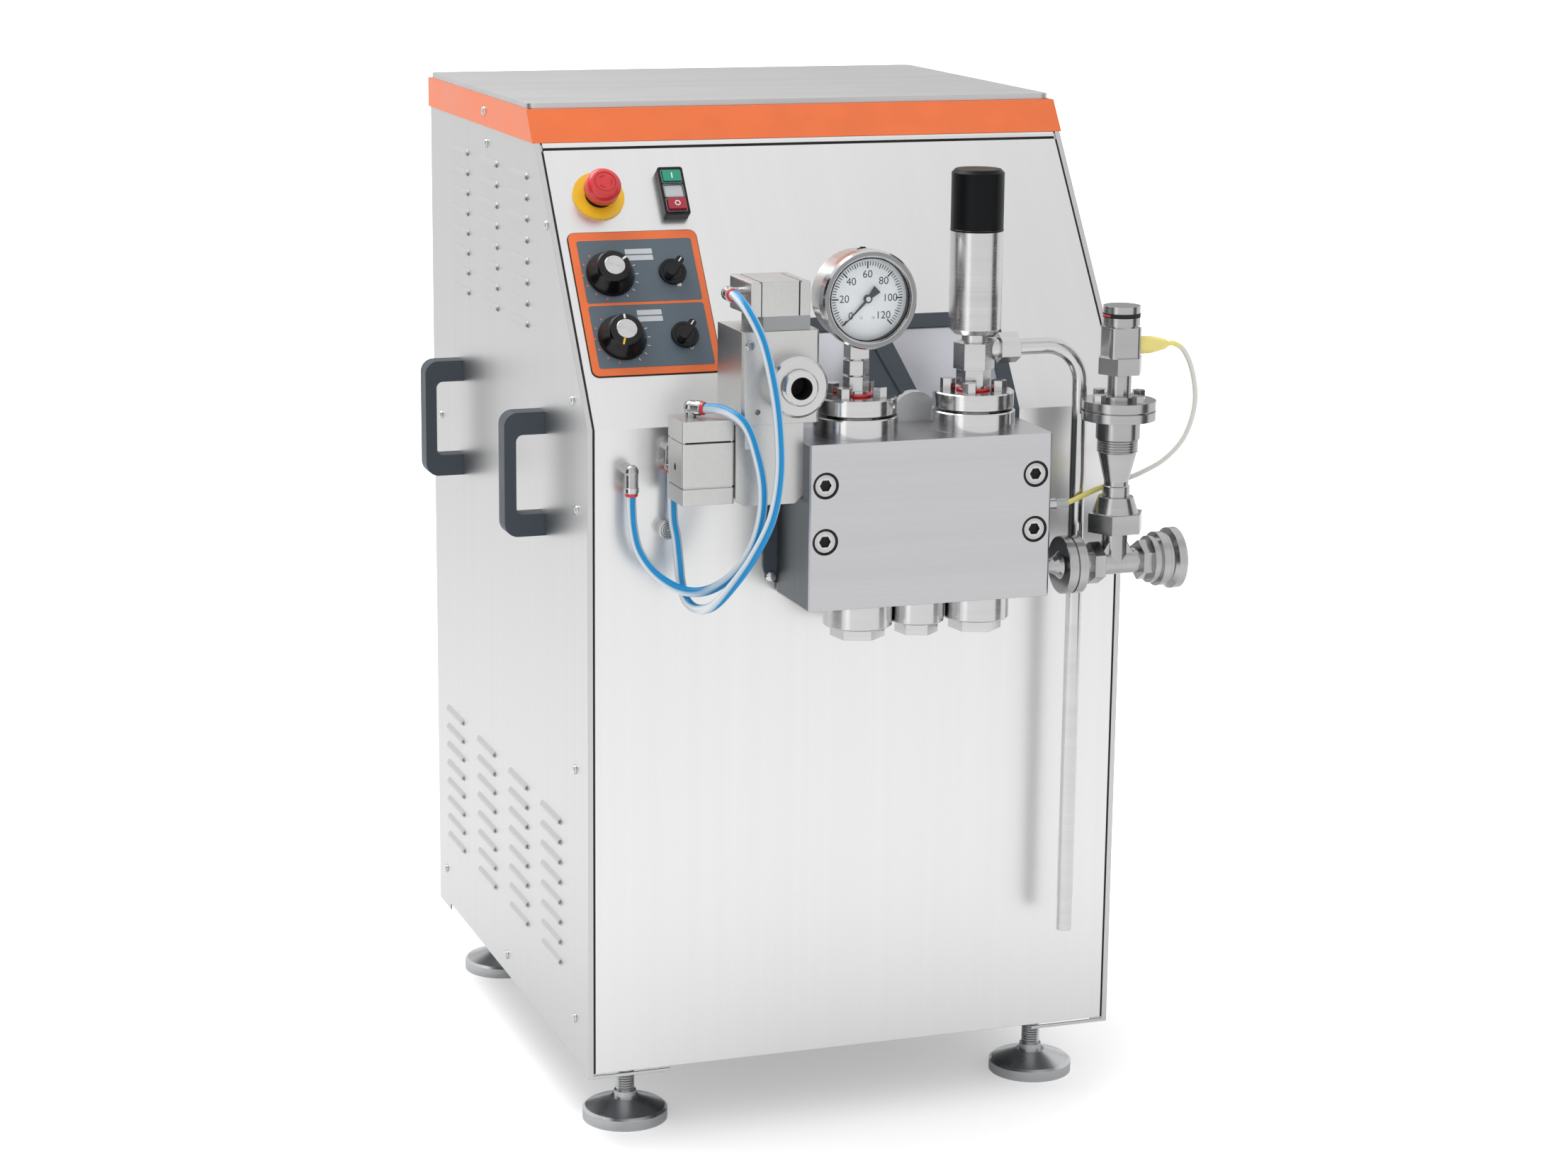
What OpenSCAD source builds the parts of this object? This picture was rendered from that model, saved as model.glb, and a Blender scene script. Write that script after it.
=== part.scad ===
// Floor-standing plunger homogenizer in a folded sheet cabinet.
// Millimetres, +Z up, the front faces -Y, the floor is at Z = 0.

/* [Cabinet] */
// Width over the two side panels
cab_w = 650; // [620:1:700]
// Depth from the front panel to the back panel
cab_d = 710; // [690:1:780]
// Height of the panels' lower edge above the floor
skirt_z = 80; // [74:1:90]
// Height of the bend between the upright front and the slope
bend_z = 836; // [834:1:850]
// Height of the top of the cabinet
cab_top = 1173; // [1165:1:1210]
// How far back the slope's top edge lies
slope_back = 243; // [230:1:260]
// Thickness of the panels' sheet
sheet = 2; // [1.5:0.1:2.5]
// Width of the side panels' folded return on the front
return_w = 6; // [5:0.5:8]
// Shadow gap between a side panel and the front panel
shadow_gap = 2.5; // [1.5:0.1:3]
// Thickness of the top cover's folded edge
cover_t = 6.5; // [4:0.5:8]
// Height of the coloured band under the top cover
band_h = 36; // [30:1:40]
// How far the band stands proud of the side panels
band_proud = 2.5; // [1:0.5:4]
// Step of the side panels' lower edge between its end tabs
skirt_step = 8; // [4:1:12]

/* [Louvres] */
// Length of one louvre
louvre_l = 88; // [70:1:92]
// Height spacing of the louvres
louvre_pitch = 24.5; // [22:0.5:26]
// How far a louvre stands out
louvre_out = 4; // [3:0.5:5]
// Louvres in one column
louvre_rows = 8; // [4:1:8]

/* [Feet and handles] */
// Diameter of a foot's disc
foot_d = 100; // [80:1:110]
// Diameter of a foot's spindle
spindle_d = 20; // [16:1:24]
// Distance of a foot from the cabinet's side
foot_in_x = 66; // [60:1:80]
// Distance of a foot from the cabinet's front and back
foot_in_y = 75; // [65:1:90]
// Reach of a bow handle from its panel
handle_reach = 48; // [40:1:55]
// Length of a bow handle
handle_l = 145; // [130:1:160]
// Depth of a bow handle's grip
handle_w = 26; // [20:1:30]

/* [Controls] */
// Diameter of the emergency stop's disc
stop_disc_d = 60; // [55:1:64]
// Diameter of the emergency stop's head
stop_head_d = 40; // [36:1:44]
// Travel of the emergency stop
stop_travel = 5; // [3:0.5:6]
// Width of the push-button housing
switch_w = 30; // [28:1:34]
// Height of the push-button housing
switch_h = 62; // [60:1:66]
// Travel of a push button
button_travel = 3; // [2:0.5:4]
// Width of the control plate
plate_w = 151; // [140:1:156]
// Height of the control plate
plate_h = 180; // [170:1:186]
// Diameter of a large knob's skirt
knob_d = 55; // [45:1:60]
// Diameter of a selector's ring
selector_d = 31; // [28:1:34]

/* [Pump head] */
// Width of the pump block
block_w = 288; // [270:1:300]
// Height of the pump block
block_h = 187; // [180:1:196]
// Depth of the pump block
block_d = 106; // [102:1:116]
// Sideways place of the pump's middle
pump_x = 40; // [35:1:45]
// Height of the pump block's lower face
block_z = 641; // [636:1:646]
// Diameter of a valve cover's ring
cover_d = 95; // [90:1:100]
// Sideways place of a valve cover from the pump's middle
cover_off = 70.5; // [66:0.5:76]
// Spacing of the plungers
plunger_pitch = 71; // [66:1:75]
// Diameter of a plunger
plunger_d = 28; // [22:1:32]
// Stroke of a plunger
plunger_stroke = 40; // [30:1:44]

/* [Gauge and relief valve] */
// Diameter of the gauge's bezel
gauge_d = 110; // [104:1:116]
// Height of the gauge's middle
gauge_z = 983; // [980:1:995]
// Diameter of the relief valve's spring tower
tower_d = 59; // [56:1:64]
// Height of the relief valve's spring tower
tower_h = 117; // [100:1:125]
// Height of the relief valve's cap
relief_cap_h = 66; // [60:1:72]
// Diameter of the drain tube
drain_d = 18; // [16:1:18]
// Height of the drain tube's lower end above the floor
drain_z = 222; // [200:1:240]

/* [Homogenizing valve] */
// Width of the valve body
valve_w = 89; // [84:1:92]
// Depth of the valve body
valve_d = 86; // [80:1:88]
// Height of the valve body
valve_h = 102; // [98:1:108]
// Diameter of the outlet union's ring
outlet_d = 68; // [62:1:72]
// Bore of the outlet union
outlet_bore = 25; // [20:1:30]

/* [Inlet line] */
// Diameter of the inlet pipe
inlet_pipe_d = 29; // [28:1:33]
// Bore of the inlet line
inlet_bore = 24; // [20:1:26]
// Diameter of the inlet ferrule
ferrule_d = 70; // [64:1:76]
// Sideways place of the riser from the cabinet's middle
riser_x = 271; // [270:1:276]

/* [Clearances] */
// Radial clearance of a turning or sliding fit
fit_gap = 0.08; // [0.05:0.01:0.1]
// Gap between pieces that move past each other
free_gap = 0.4; // [0.3:0.05:0.6]
// Radial clearance of a screw in its hole
screw_gap = 0.5; // [0.3:0.1:0.8]

/* [Hidden] */
$fn = 64;
big = 3000;
cut = 1;

// Slope of the upper front
lean = atan2(slope_back, cab_top - bend_z);
slope_len = norm([slope_back, cab_top - bend_z]);
band_top = cab_top - cover_t;
band_low = band_top - band_h;
panel_top_gap = 10;
panel_top_s = (band_low - bend_z) / cos(lean) - panel_top_gap;
front_panel_w = cab_w - 2 * (return_w + shadow_gap);
side_x = cab_w / 2;

// Window in the front panel and what lies round it
window_left = 142;
window_right = 131;
window_low = 668;
window_high_s = 108;
window_r = 14;
trim_w = 18;
trim_t = 3.5;
guard_back = 68;
guard_t = 1.5;

// Pump head
block_back = 4;
block_front = block_back + block_d;
head_margin = 1.5;
head_y = -(block_back + cover_d / 2 + head_margin);
block_top = block_z + block_h;
ring_h = 22;
ring_gap = 2;
disc_h = 19;
cover_step = 3.5;
boss_h = 6;
cover_top = block_top + ring_h + ring_gap + disc_h;
plug_ds = [plunger_pitch + 7, plunger_pitch - 9, plunger_pitch + 5];
plug_y = plug_ds[0] / 2 + 0.5 - block_front;
plunger_z = block_z + block_h / 2;
plunger_xs = [for (i = [-1:1]) pump_x + i * plunger_pitch];
plunger_bore_depth = block_d - 24;
neck_w = block_w - 32;
neck_low = window_low + 6;
neck_high = block_top - 2;

// Drive
deck_z = 600;
deck_t = 12;
rail_w = 60;
rail_h = 40;
rail_z = skirt_z + 6;
rail_ys = [foot_in_y, 250, 430, cab_d - foot_in_y];
rail_x = side_x - foot_in_x;
stand_off = 140;
stand_t = 10;
stand_y0 = 220;
stand_y1 = 460;
case_w = 260;
case_y0 = 70;
case_y1 = 440;
case_h = 226;
crank_y = 300;
crank_z = 720;
crank_d = 340;
motor_y = 340;
motor_z = 300;
motor_d = 200;
small_d = 140;
pulley_x = pump_x + 200;
pulley_w = 44;
groove_n = 3;
groove_pitch = 12;
groove_deep = 8;
shaft_d = 38;
motor_shaft_d = 28;
belt_t = 8;

// Gauge
gauge_x = pump_x - cover_off;
gauge_case_d = gauge_d - 8;
gauge_depth = 46;
dial_sink = 7;
stem_hex = 25;
stem_hex_h = 18;
stem_square = 22;
hex_turn = -20;
stem_low = cover_top + boss_h;
pin_d = 4;

// Relief valve
relief_x = pump_x + cover_off;
relief_hex_low = 18;
relief_hex_h = 30;
relief_neck_h = 10;
relief_low = cover_top + boss_h;
tower_z = relief_low + relief_hex_low + relief_hex_h + relief_neck_h;
tower_top = tower_z + tower_h;
drain_run_z = relief_low + relief_hex_low + 22;
drain_x = riser_x - 29.6;
drain_bend = 44;
drain_wall = 1.5;
union_l = 23;

// Homogenizing valve
lower_w = 78;
lower_front = 88;
lower_back = 8;
lower_z = 760;
lower_top = block_top + 22;
lower_x = pump_x - block_w / 2 - lower_w;
valve_x = lower_x + 6;
valve_front = 90;
valve_top = lower_top + valve_h;
outlet_x = valve_x + valve_w - 31;
outlet_z = lower_top + 43;
outlet_l = 30;
upper_x = valve_x + 22;
upper_w = 56;
upper_h = 54;
upper_band = 16;
upper_front = 88;
upper_d = 72;
lower_cyl_w = 60;
lower_cyl_x = lower_x - lower_cyl_w;
lower_cyl_front = 84;
lower_cyl_d = 54;
lower_cyl_z = lower_z + 3;
cyl_groove = 2;
cyl_foot_h = 18;
cyl_middle_h = 48;
cyl_head_h = 23;
lower_cyl_h = cyl_foot_h + cyl_middle_h + cyl_head_h + 2 * cyl_groove;
lower_cyl_top = lower_cyl_z + lower_cyl_h;
upper_plate = 12;

// Panel fittings
bulkhead_x = -281;
bulkhead_z = 792;
rear_fitting_x = -232;
rear_fitting_z = 815;
panel_rise = 22;
rear_rise = 15;
panel_arm = 24;
elbow_d = 15;
elbow_rise = 10;
elbow_arm = 14;
lower_elbow_at = [lower_cyl_x + 20, -50, lower_cyl_top];
lower_elbow_turn = -45;
upper_elbow_at = [upper_x - upper_plate, -52, valve_top + 38];
vent_x = -236;
vent_z = 722;
vent_d = 21;

// Inlet line
inlet_y = 15 - block_front;
inlet_z = block_z + 31;
nozzle_l = 19;
clamp_t = 10.5;
clamp_gap = 2;
clamp_d = 66;
tee_hex = 42;
inlet_end_x = riser_x + 77;
riser_z = inlet_z + 36;
sensor_flange_d = 84;
flange_z = inlet_z + 165;
flange_t = 10;
flange_gap = 2;
sensor_z = flange_z + 2 * flange_t + flange_gap;
boot_z = sensor_z + 61;
boot_in = 15;
boot_l = 41;

// Origin: under the middle of the whole machine's box
right_reach = max(inlet_end_x, side_x + handle_reach);
front_reach = max(valve_front + outlet_l, sensor_flange_d / 2 - inlet_y);
origin_x = (right_reach - side_x - handle_reach) / 2;
origin_y = (cab_d + band_proud - front_reach) / 2;

// Shared shapes

// Moves the cabinet's places to the part's origin
module placed() {
    translate([-origin_x, -origin_y, 0]) children();
}

// A flat outline with round corners, lower left corner at zero
module rounded_rect(w, h, r) {
    translate([r, 0]) square([w - 2 * r, h]);
    translate([0, r]) square([w, h - 2 * r]);
    for (x = [r, w - r], y = [r, h - r]) translate([x, y]) circle(r);
}

// Stands a shape up so that its own Z points out of the front
module out_front() {
    rotate([90, 0, 0]) children();
}

// Places a shape on the slope: X across, s up the slope from the bend, -Y out of it
module on_slope(x, s) {
    translate([x, 0, bend_z]) rotate([-lean, 0, 0]) translate([0, 0, s]) children();
}

// Space under the plane that halves the bend
module below_bend() {
    translate([0, 0, bend_z]) rotate([-lean / 2, 0, 0]) translate([-big / 2, -big / 2, -big]) cube(big);
}

// Space over the plane that halves the bend
module above_bend() {
    translate([0, 0, bend_z]) rotate([-lean / 2, 0, 0]) translate([-big / 2, -big / 2, 0]) cube(big);
}

// A plate that follows the bend, from the depth lift outwards by t
module bent_plate(x0, x1, z_low, s_high, r, lift, t) {
    spare = 60;
    intersection() {
        translate([x0, -lift, z_low])
            out_front() linear_extrude(t) rounded_rect(x1 - x0, bend_z - z_low + spare, r);
        below_bend();
    }
    intersection() {
        on_slope(x0, -spare) translate([0, -lift, 0])
            out_front() linear_extrude(t) rounded_rect(x1 - x0, s_high + spare, r);
        above_bend();
    }
}

// A block's outline from above: width across from zero, both front edges bevelled
module edged_rect(w, depth, front, bevel) {
    polygon([
        [0, depth - front], [0, bevel - front], [bevel, -front],
        [w - bevel, -front], [w, bevel - front], [w, depth - front]
    ]);
}

// A hexagon bar of a width across its flats
module hex_bar(flats, h) {
    cylinder(d = flats / cos(30), h = h, $fn = 6);
}

// A socket head screw's head with its hexagon recess, on Z = 0
module socket_head(d, h, key) {
    difference() {
        cylinder(d = d, h = h);
        translate([0, 0, h / 2]) hex_bar(key, h);
    }
}

// A V-belt pulley round Z, from zero up
module grooved_pulley(d, w, hub_d) {
    first = (w - (groove_n - 1) * groove_pitch) / 2;
    top = groove_pitch * 0.42;
    root = groove_pitch * 0.2;
    rotate_extrude() difference() {
        translate([hub_d / 2, 0]) square([(d - hub_d) / 2, w]);
        for (i = [0:groove_n - 1]) translate([d / 2, first + i * groove_pitch])
            polygon([
                [cut, -top], [cut, top], [0, top],
                [-groove_deep, root], [-groove_deep, -root], [0, -top]
            ]);
    }
}

// Sweeps a round section along points
function unit(v) = v / norm(v);
function heading(path, i) = unit(path[min(i + 1, len(path) - 1)] - path[max(i - 1, 0)]);
function side_of(path, i) = unit(cross(heading(path, i), [0.35, 0.93, 0.11]));
function ring_point(path, i, a, d) =
    let (u = side_of(path, i), v = cross(heading(path, i), u))
    path[i] + d / 2 * (cos(a) * u + sin(a) * v);

module swept_tube(path, d, sides) {
    n = len(path);
    points = [for (i = [0:n - 1], k = [0:sides - 1]) ring_point(path, i, 360 * k / sides, d)];
    walls = [for (i = [0:n - 2], k = [0:sides - 1])
        let (here = i * sides, there = here + sides, next = (k + 1) % sides)
        [here + k, there + k, there + next, here + next]];
    near_end = [[for (k = [0:sides - 1]) k]];
    far_end = [[for (k = [sides - 1:-1:0]) (n - 1) * sides + k]];
    polyhedron(points, concat(near_end, walls, far_end), convexity = 6);
}

// Cabinet

// Front profile, depth and height, at a distance inside the outer face
function front_line(inside, low, top) = [
    [inside, low],
    [inside, bend_z - inside * tan(lean / 2)],
    [(top - bend_z) * tan(lean) + inside / cos(lean), top]
];

// A strip of sheet along the front profile between two distances inside the outer face
module front_strip(outer, inner, low, top) {
    back = front_line(inner, low, top);
    polygon(concat(front_line(outer, low, top), [back[2], back[1], back[0]]));
}

// Turns a depth and height outline into a slab of width w, from X = 0 to the right
module side_slab(w) {
    rotate([90, 0, 90]) linear_extrude(w) children();
}

skirt_tab = 57;
corner_tab_l = 98;
corner_tab_h = 3.5;
lip_w = 16;

// Outline of a side panel, depth across and height up
module side_outline() {
    polygon([
        [0, skirt_z], [skirt_tab, skirt_z], [skirt_tab, skirt_z + skirt_step],
        [cab_d - skirt_tab, skirt_z + skirt_step], [cab_d - skirt_tab, skirt_z],
        [cab_d, skirt_z], [cab_d, band_low], front_line(0, skirt_z, band_low)[2], [0, bend_z]
    ]);
}

louvre_h = 7.5;
louvre_r = (louvre_out ^ 2 + louvre_h ^ 2) / (2 * louvre_out);
louvre_t = 1;
upper_louvre_ys = [561, 421.5, 285.5];
lower_louvre_ys = [613.5, 455, 302, 155.5];
upper_louvre_z = band_low - 43.5;
lower_louvre_z = 353;
louvre_places = concat(
    [for (y = upper_louvre_ys, i = [0:louvre_rows - 1]) [y, upper_louvre_z - i * louvre_pitch]],
    [for (y = lower_louvre_ys, i = [0:louvre_rows - 1]) [y, lower_louvre_z - i * louvre_pitch]]);

// A round-ended bar along Y whose side is a louvre's hood
module louvre_form(r) {
    straight = louvre_l / 2 - louvre_h;
    translate([louvre_r - louvre_out, 0, 0]) rotate([90, 0, 0]) rotate_extrude() {
        for (s = [-1, 1]) translate([0, s * straight]) intersection() {
            circle(r);
            translate([0, -r]) square([r, 2 * r]);
        }
        translate([0, -straight]) square([r, 2 * straight]);
    }
}

// The left side panel, its outer face on X = 0
module side_panel() {
    lip_x = return_w - sheet;
    difference() {
        union() {
            side_slab(sheet) side_outline();
            side_slab(return_w) front_strip(0, sheet, skirt_z, band_low);
            translate([lip_x, 0, 0])
                side_slab(lip_w) front_strip(sheet, 2 * sheet, skirt_z, band_low);
            translate([0, cab_d - sheet, skirt_z]) cube([return_w, sheet, band_low - skirt_z]);
            translate([0, 0, skirt_z]) cube([corner_tab_l, sheet, corner_tab_h]);
            translate([lip_x, cab_d - 2 * sheet, skirt_z]) cube([lip_w, sheet, band_low - skirt_z]);
            for (p = louvre_places) translate([0, p[0], p[1]]) intersection() {
                louvre_form(louvre_r);
                translate([-louvre_r, -louvre_l, 0]) cube([louvre_r, 2 * louvre_l, louvre_r]);
            }
        }
        for (p = louvre_places) translate([0, p[0], p[1]]) intersection() {
            louvre_form(louvre_r - louvre_t);
            translate([-louvre_r, -louvre_l, -cut]) cube([louvre_r + sheet + cut, 2 * louvre_l, louvre_r]);
        }
    }
}

module left_side_panel() {
    color("gainsboro") placed() translate([-side_x, 0, 0]) side_panel();
}

module right_side_panel() {
    color("gainsboro") placed() mirror([1, 0, 0]) translate([-side_x, 0, 0]) side_panel();
}

// A round hole out of the slope at a place on it
module slope_hole(place, d) {
    on_slope(place[0], place[1]) translate([0, 3 * sheet, 0]) out_front() cylinder(d = d, h = 6 * sheet);
}

module front_panel() {
    corner_r = 2;
    color("gainsboro") placed() difference() {
        bent_plate(-front_panel_w / 2, front_panel_w / 2, skirt_z + return_w, panel_top_s,
            corner_r, -sheet, sheet);
        bent_plate(window_x0, window_x1, window_low, window_high_s, window_r, -3 * sheet, 6 * sheet);
        slope_hole(estop_at, stem_d + 2 * fit_gap);
        for (p = concat(knob_at, selector_at)) slope_hole(p, knob_shaft_d + 2 * free_gap);
        translate([vent_x, 3 * sheet, vent_z]) out_front()
            cylinder(d = vent_shaft_d + 2 * fit_gap, h = 6 * sheet);
    }
}

module back_panel() {
    height = band_low - skirt_z - return_w;
    slot_w = 260;
    slot_h = 6;
    slot_n = 10;
    slot_pitch = 25;
    slot_low = 180;
    color("gainsboro") placed() translate([-front_panel_w / 2, cab_d, skirt_z + return_w]) out_front()
        linear_extrude(sheet) difference() {
            rounded_rect(front_panel_w, height, sheet);
            for (i = [0:slot_n - 1]) translate([(front_panel_w - slot_w) / 2, slot_low + i * slot_pitch])
                rounded_rect(slot_w, slot_h, slot_h / 2 - 0.1);
        }
}

module top_cover() {
    corner_r = 12;
    color("silver") placed() translate([-side_x, slope_back, band_top]) linear_extrude(cover_t)
        rounded_rect(cab_w, cab_d - slope_back, corner_r);
}

module colour_band() {
    wall = band_proud + sheet;
    w = cab_w + 2 * band_proud;
    lip_low = bend_z + (panel_top_s - 2 * panel_top_gap) * cos(lean);
    color("darkorange") placed() {
        translate([-w / 2, 0, 0]) difference() {
            side_slab(w) polygon([
                front_line(0, 0, band_low)[2], front_line(0, 0, band_top)[2],
                [cab_d + band_proud, band_top], [cab_d + band_proud, band_low]
            ]);
            translate([wall, 0, 0]) side_slab(w - 2 * wall) polygon([
                front_line(2 * sheet, 0, band_low - cut)[2], front_line(2 * sheet, 0, band_top + cut)[2],
                [cab_d + band_proud - wall, band_top + cut], [cab_d + band_proud - wall, band_low - cut]
            ]);
        }
        translate([-front_panel_w / 2 + lip_w, 0, 0]) side_slab(front_panel_w - 2 * lip_w) intersection() {
            front_strip(sheet, 2 * sheet, skirt_z, band_low);
            translate([0, lip_low]) square([cab_d, band_low - lip_low]);
        }
    }
}

// Screws of the left side panel: depth and height
slope_screw_z = bend_z + 0.703 * (band_low - bend_z);
bend_screw_z = bend_z + 24;
rear_screw_y = cab_d - 38;
side_screws = [
    [15 + (slope_screw_z - bend_z) * tan(lean), slope_screw_z],
    [42 + (bend_screw_z - bend_z) * tan(lean), bend_screw_z],
    [42, 739], [52, 436], [56, 136],
    [rear_screw_y, 131], [363, 112], [rear_screw_y, 740], [430, band_low - 20.5]
];
band_screw_y = 430;
panel_screw_d = 10;
panel_screw_h = 2.6;
panel_screw_key = 4;

// A panel screw that points to the left
module side_screw() {
    rotate([0, -90, 0]) socket_head(panel_screw_d, panel_screw_h, panel_screw_key);
}

module panel_screws() {
    color("silver") placed() for (s = [0, 1]) mirror([s, 0, 0]) {
        for (p = side_screws) translate([-side_x, p[0], p[1]]) side_screw();
        translate([-side_x - band_proud, band_screw_y, (band_low + band_top) / 2]) side_screw();
    }
}

handle_ys = [188, 570];
handle_z = 683;
handle_foot = 26;
handle_bar = 14;

// One bow handle on X = 0, reaching to -X, from Z = 0 up
module bow_handle() {
    corner_r = 16;
    inner_r = 8;
    translate([0, handle_w / 2, 0]) out_front() linear_extrude(handle_w) difference() {
        union() {
            translate([-handle_reach, 0]) rounded_rect(handle_reach, handle_l, corner_r);
            translate([-handle_reach / 2, 0]) square([handle_reach / 2, handle_l]);
        }
        translate([handle_bar - handle_reach, handle_foot])
            rounded_rect(handle_reach, handle_l - 2 * handle_foot, inner_r);
    }
}

module side_handles() {
    color("darkslategray") placed() for (s = [0, 1], y = handle_ys)
        mirror([s, 0, 0]) translate([-side_x, y, handle_z]) bow_handle();
}

// Feet

foot_rim = 12;
foot_cone = 26;
foot_collar = 34;
foot_neck_r = 17;
foot_collar_d = 26;
spindle_top = rail_z + rail_h - 4;

module foot(sx, sy) {
    color("dimgray") placed() translate([sx * rail_x, sy < 0 ? foot_in_y : cab_d - foot_in_y, 0]) {
        rotate_extrude() polygon([
            [0, 0], [foot_d / 2, 0], [foot_d / 2, foot_rim], [foot_d / 2 - 3, foot_rim + 3],
            [foot_neck_r, foot_cone], [0, foot_cone]
        ]);
        translate([0, 0, foot_cone]) cylinder(d = foot_collar_d, h = foot_collar - foot_cone);
        translate([0, 0, foot_collar]) cylinder(d = spindle_d, h = spindle_top - foot_collar);
    }
}

module foot_front_left() { foot(-1, -1); }
module foot_front_right() { foot(1, -1); }
module foot_rear_left() { foot(-1, 1); }
module foot_rear_right() { foot(1, 1); }

// The welded frame: rails, cross rails and the pump's stand
module base_frame() {
    span = cab_w - 2 * sheet;
    shaft_room = 15;
    stand_low = rail_z + rail_h;
    color("gray") placed() difference() {
        union() {
            for (s = [-1, 1]) translate([s * rail_x - rail_w / 2, foot_in_y, rail_z])
                cube([rail_w, cab_d - 2 * foot_in_y, rail_h]);
            for (y = rail_ys) translate([-span / 2, y - rail_w / 2, rail_z]) cube([span, rail_w, rail_h]);
            for (s = [-1, 1]) translate([pump_x + s * stand_off - stand_t / 2, stand_y0, stand_low])
                cube([stand_t, stand_y1 - stand_y0, deck_z - deck_t - stand_low]);
            translate([pump_x - stand_off - stand_t / 2, case_y0, deck_z - deck_t])
                cube([2 * stand_off + stand_t, stand_y1 - case_y0, deck_t]);
        }
        for (x = [-rail_x, rail_x], y = [foot_in_y, cab_d - foot_in_y])
            translate([x, y, rail_z - cut]) cylinder(d = spindle_d + 2 * fit_gap, h = rail_h + 2 * cut);
        translate([pump_x, motor_y, motor_z]) rotate([0, 90, 0])
            cylinder(d = motor_shaft_d + 2 * shaft_room, h = stand_off + stand_t);
    }
}

// Controls on the slope

window_x0 = pump_x - window_left;
window_x1 = pump_x + window_right;
estop_at = [-262, 292];
switch_at = [-175, 291];
plate_x0 = -307;
plate_s0 = 65;
knob_x = plate_x0 + 41;
selector_x = plate_x0 + 114;
upper_s = plate_s0 + 126;
lower_s = plate_s0 + 46;
knob_at = [[knob_x, upper_s], [knob_x, lower_s]];
selector_at = [[selector_x, upper_s], [selector_x, lower_s]];
stem_d = 22;
stem_in = 20;
stop_disc_t = 3;
knob_shaft_d = 6;
shaft_in = 10;
plate_t = 2;
selector_bore = 22;
selector_ring_h = 4;

module estop_plate() {
    color("gold") placed() on_slope(estop_at[0], estop_at[1]) out_front() difference() {
        cylinder(d = stop_disc_d, h = stop_disc_t);
        translate([0, 0, -cut]) cylinder(d = stem_d + 2 * fit_gap, h = stop_disc_t + 2 * cut);
    }
}

stop_head_low = stop_disc_t + stop_travel + 1;

module estop_stem() {
    color("dimgray") placed() on_slope(estop_at[0], estop_at[1]) out_front()
        translate([0, 0, -stem_in]) cylinder(d = stem_d, h = stem_in + stop_head_low);
}

module estop_head() {
    round_r = 7;
    r = stop_head_d / 2;
    head_h = 17;
    color("crimson") placed() on_slope(estop_at[0], estop_at[1]) out_front()
        translate([0, 0, stop_head_low + free_gap]) rotate_extrude() intersection() {
            union() {
                polygon([[0, 0], [r - 5, 0], [r, 6], [r, head_h - round_r], [0, head_h - round_r]]);
                square([r - round_r, head_h]);
                translate([r - round_r, head_h - round_r]) circle(round_r);
            }
            square([r, head_h]);
        }
}

switch_t = 11;
window_w = 22;
window_h = 15;
window_pitch = 18.5;
button_l = 10;
button_r = 1.5;
stop_extra = 2;
button_low = button_travel + 1;

// A push-button window's outline, smaller by a gap all round
module button_outline(gap) {
    translate([gap - window_w / 2, gap - window_h / 2])
        rounded_rect(window_w - 2 * gap, window_h - 2 * gap, button_r);
}

module switch_housing() {
    corner_r = 3;
    color("black") placed() on_slope(switch_at[0], switch_at[1]) out_front()
        linear_extrude(switch_t) difference() {
            translate([-switch_w / 2, -switch_h / 2]) rounded_rect(switch_w, switch_h, corner_r);
            for (i = [-1:1]) translate([0, i * window_pitch]) button_outline(0);
        }
}

// What fills one of the housing's windows: row up, lowest level and length
module switch_filler(row, low, l, gap) {
    placed() on_slope(switch_at[0], switch_at[1]) out_front() translate([0, row * window_pitch, low])
        linear_extrude(l) button_outline(gap);
}

module start_button() { color("seagreen") switch_filler(1, button_low, button_l, free_gap); }
module stop_button() { color("firebrick") switch_filler(-1, button_low, button_l + stop_extra, free_gap); }
module pilot_lens() { color("whitesmoke") switch_filler(0, 0, switch_t - 1, fit_gap); }

module control_plate() {
    corner_r = 8;
    color("darkorange") placed() {
        on_slope(plate_x0, plate_s0) out_front() difference() {
            linear_extrude(plate_t) rounded_rect(plate_w, plate_h, corner_r);
            for (p = concat(knob_at, selector_at)) translate([p[0] - plate_x0, p[1] - plate_s0, -cut])
                cylinder(d = knob_shaft_d + 2 * fit_gap, h = plate_t + 2 * cut);
        }
        for (p = selector_at) on_slope(p[0], p[1]) out_front() translate([0, 0, plate_t]) difference() {
            cylinder(d = selector_d, h = selector_ring_h);
            translate([0, 0, -cut])
                cylinder(d = selector_bore + 2 * free_gap, h = selector_ring_h + 2 * cut);
        }
    }
}

// A large knob: skirt, fluted body, flat top and shaft
module big_knob(place) {
    body_r = knob_d / 2 - 8;
    skirt_h = 6;
    body_h = 22;
    edge = 1.5;
    flutes = 18;
    flute_d = 3;
    flute_out = 0.7;
    flute_z = skirt_h + 1;
    color("black") placed() on_slope(place[0], place[1]) out_front() {
        translate([0, 0, plate_t + free_gap]) difference() {
            rotate_extrude() polygon([
                [0, 0], [knob_d / 2, 0], [knob_d / 2, 2], [knob_d / 2 - 3, skirt_h], [body_r, skirt_h],
                [body_r, body_h - edge], [body_r - edge, body_h], [0, body_h]
            ]);
            for (i = [0:flutes - 1]) rotate(360 * i / flutes) translate([body_r + flute_out, 0, flute_z])
                cylinder(d = flute_d, h = body_h - edge - 1 - flute_z);
        }
        translate([0, 0, -shaft_in]) cylinder(d = knob_shaft_d, h = shaft_in + plate_t + free_gap);
    }
}

module upper_knob() { big_knob(knob_at[0]); }
module lower_knob() { big_knob(knob_at[1]); }

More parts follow.
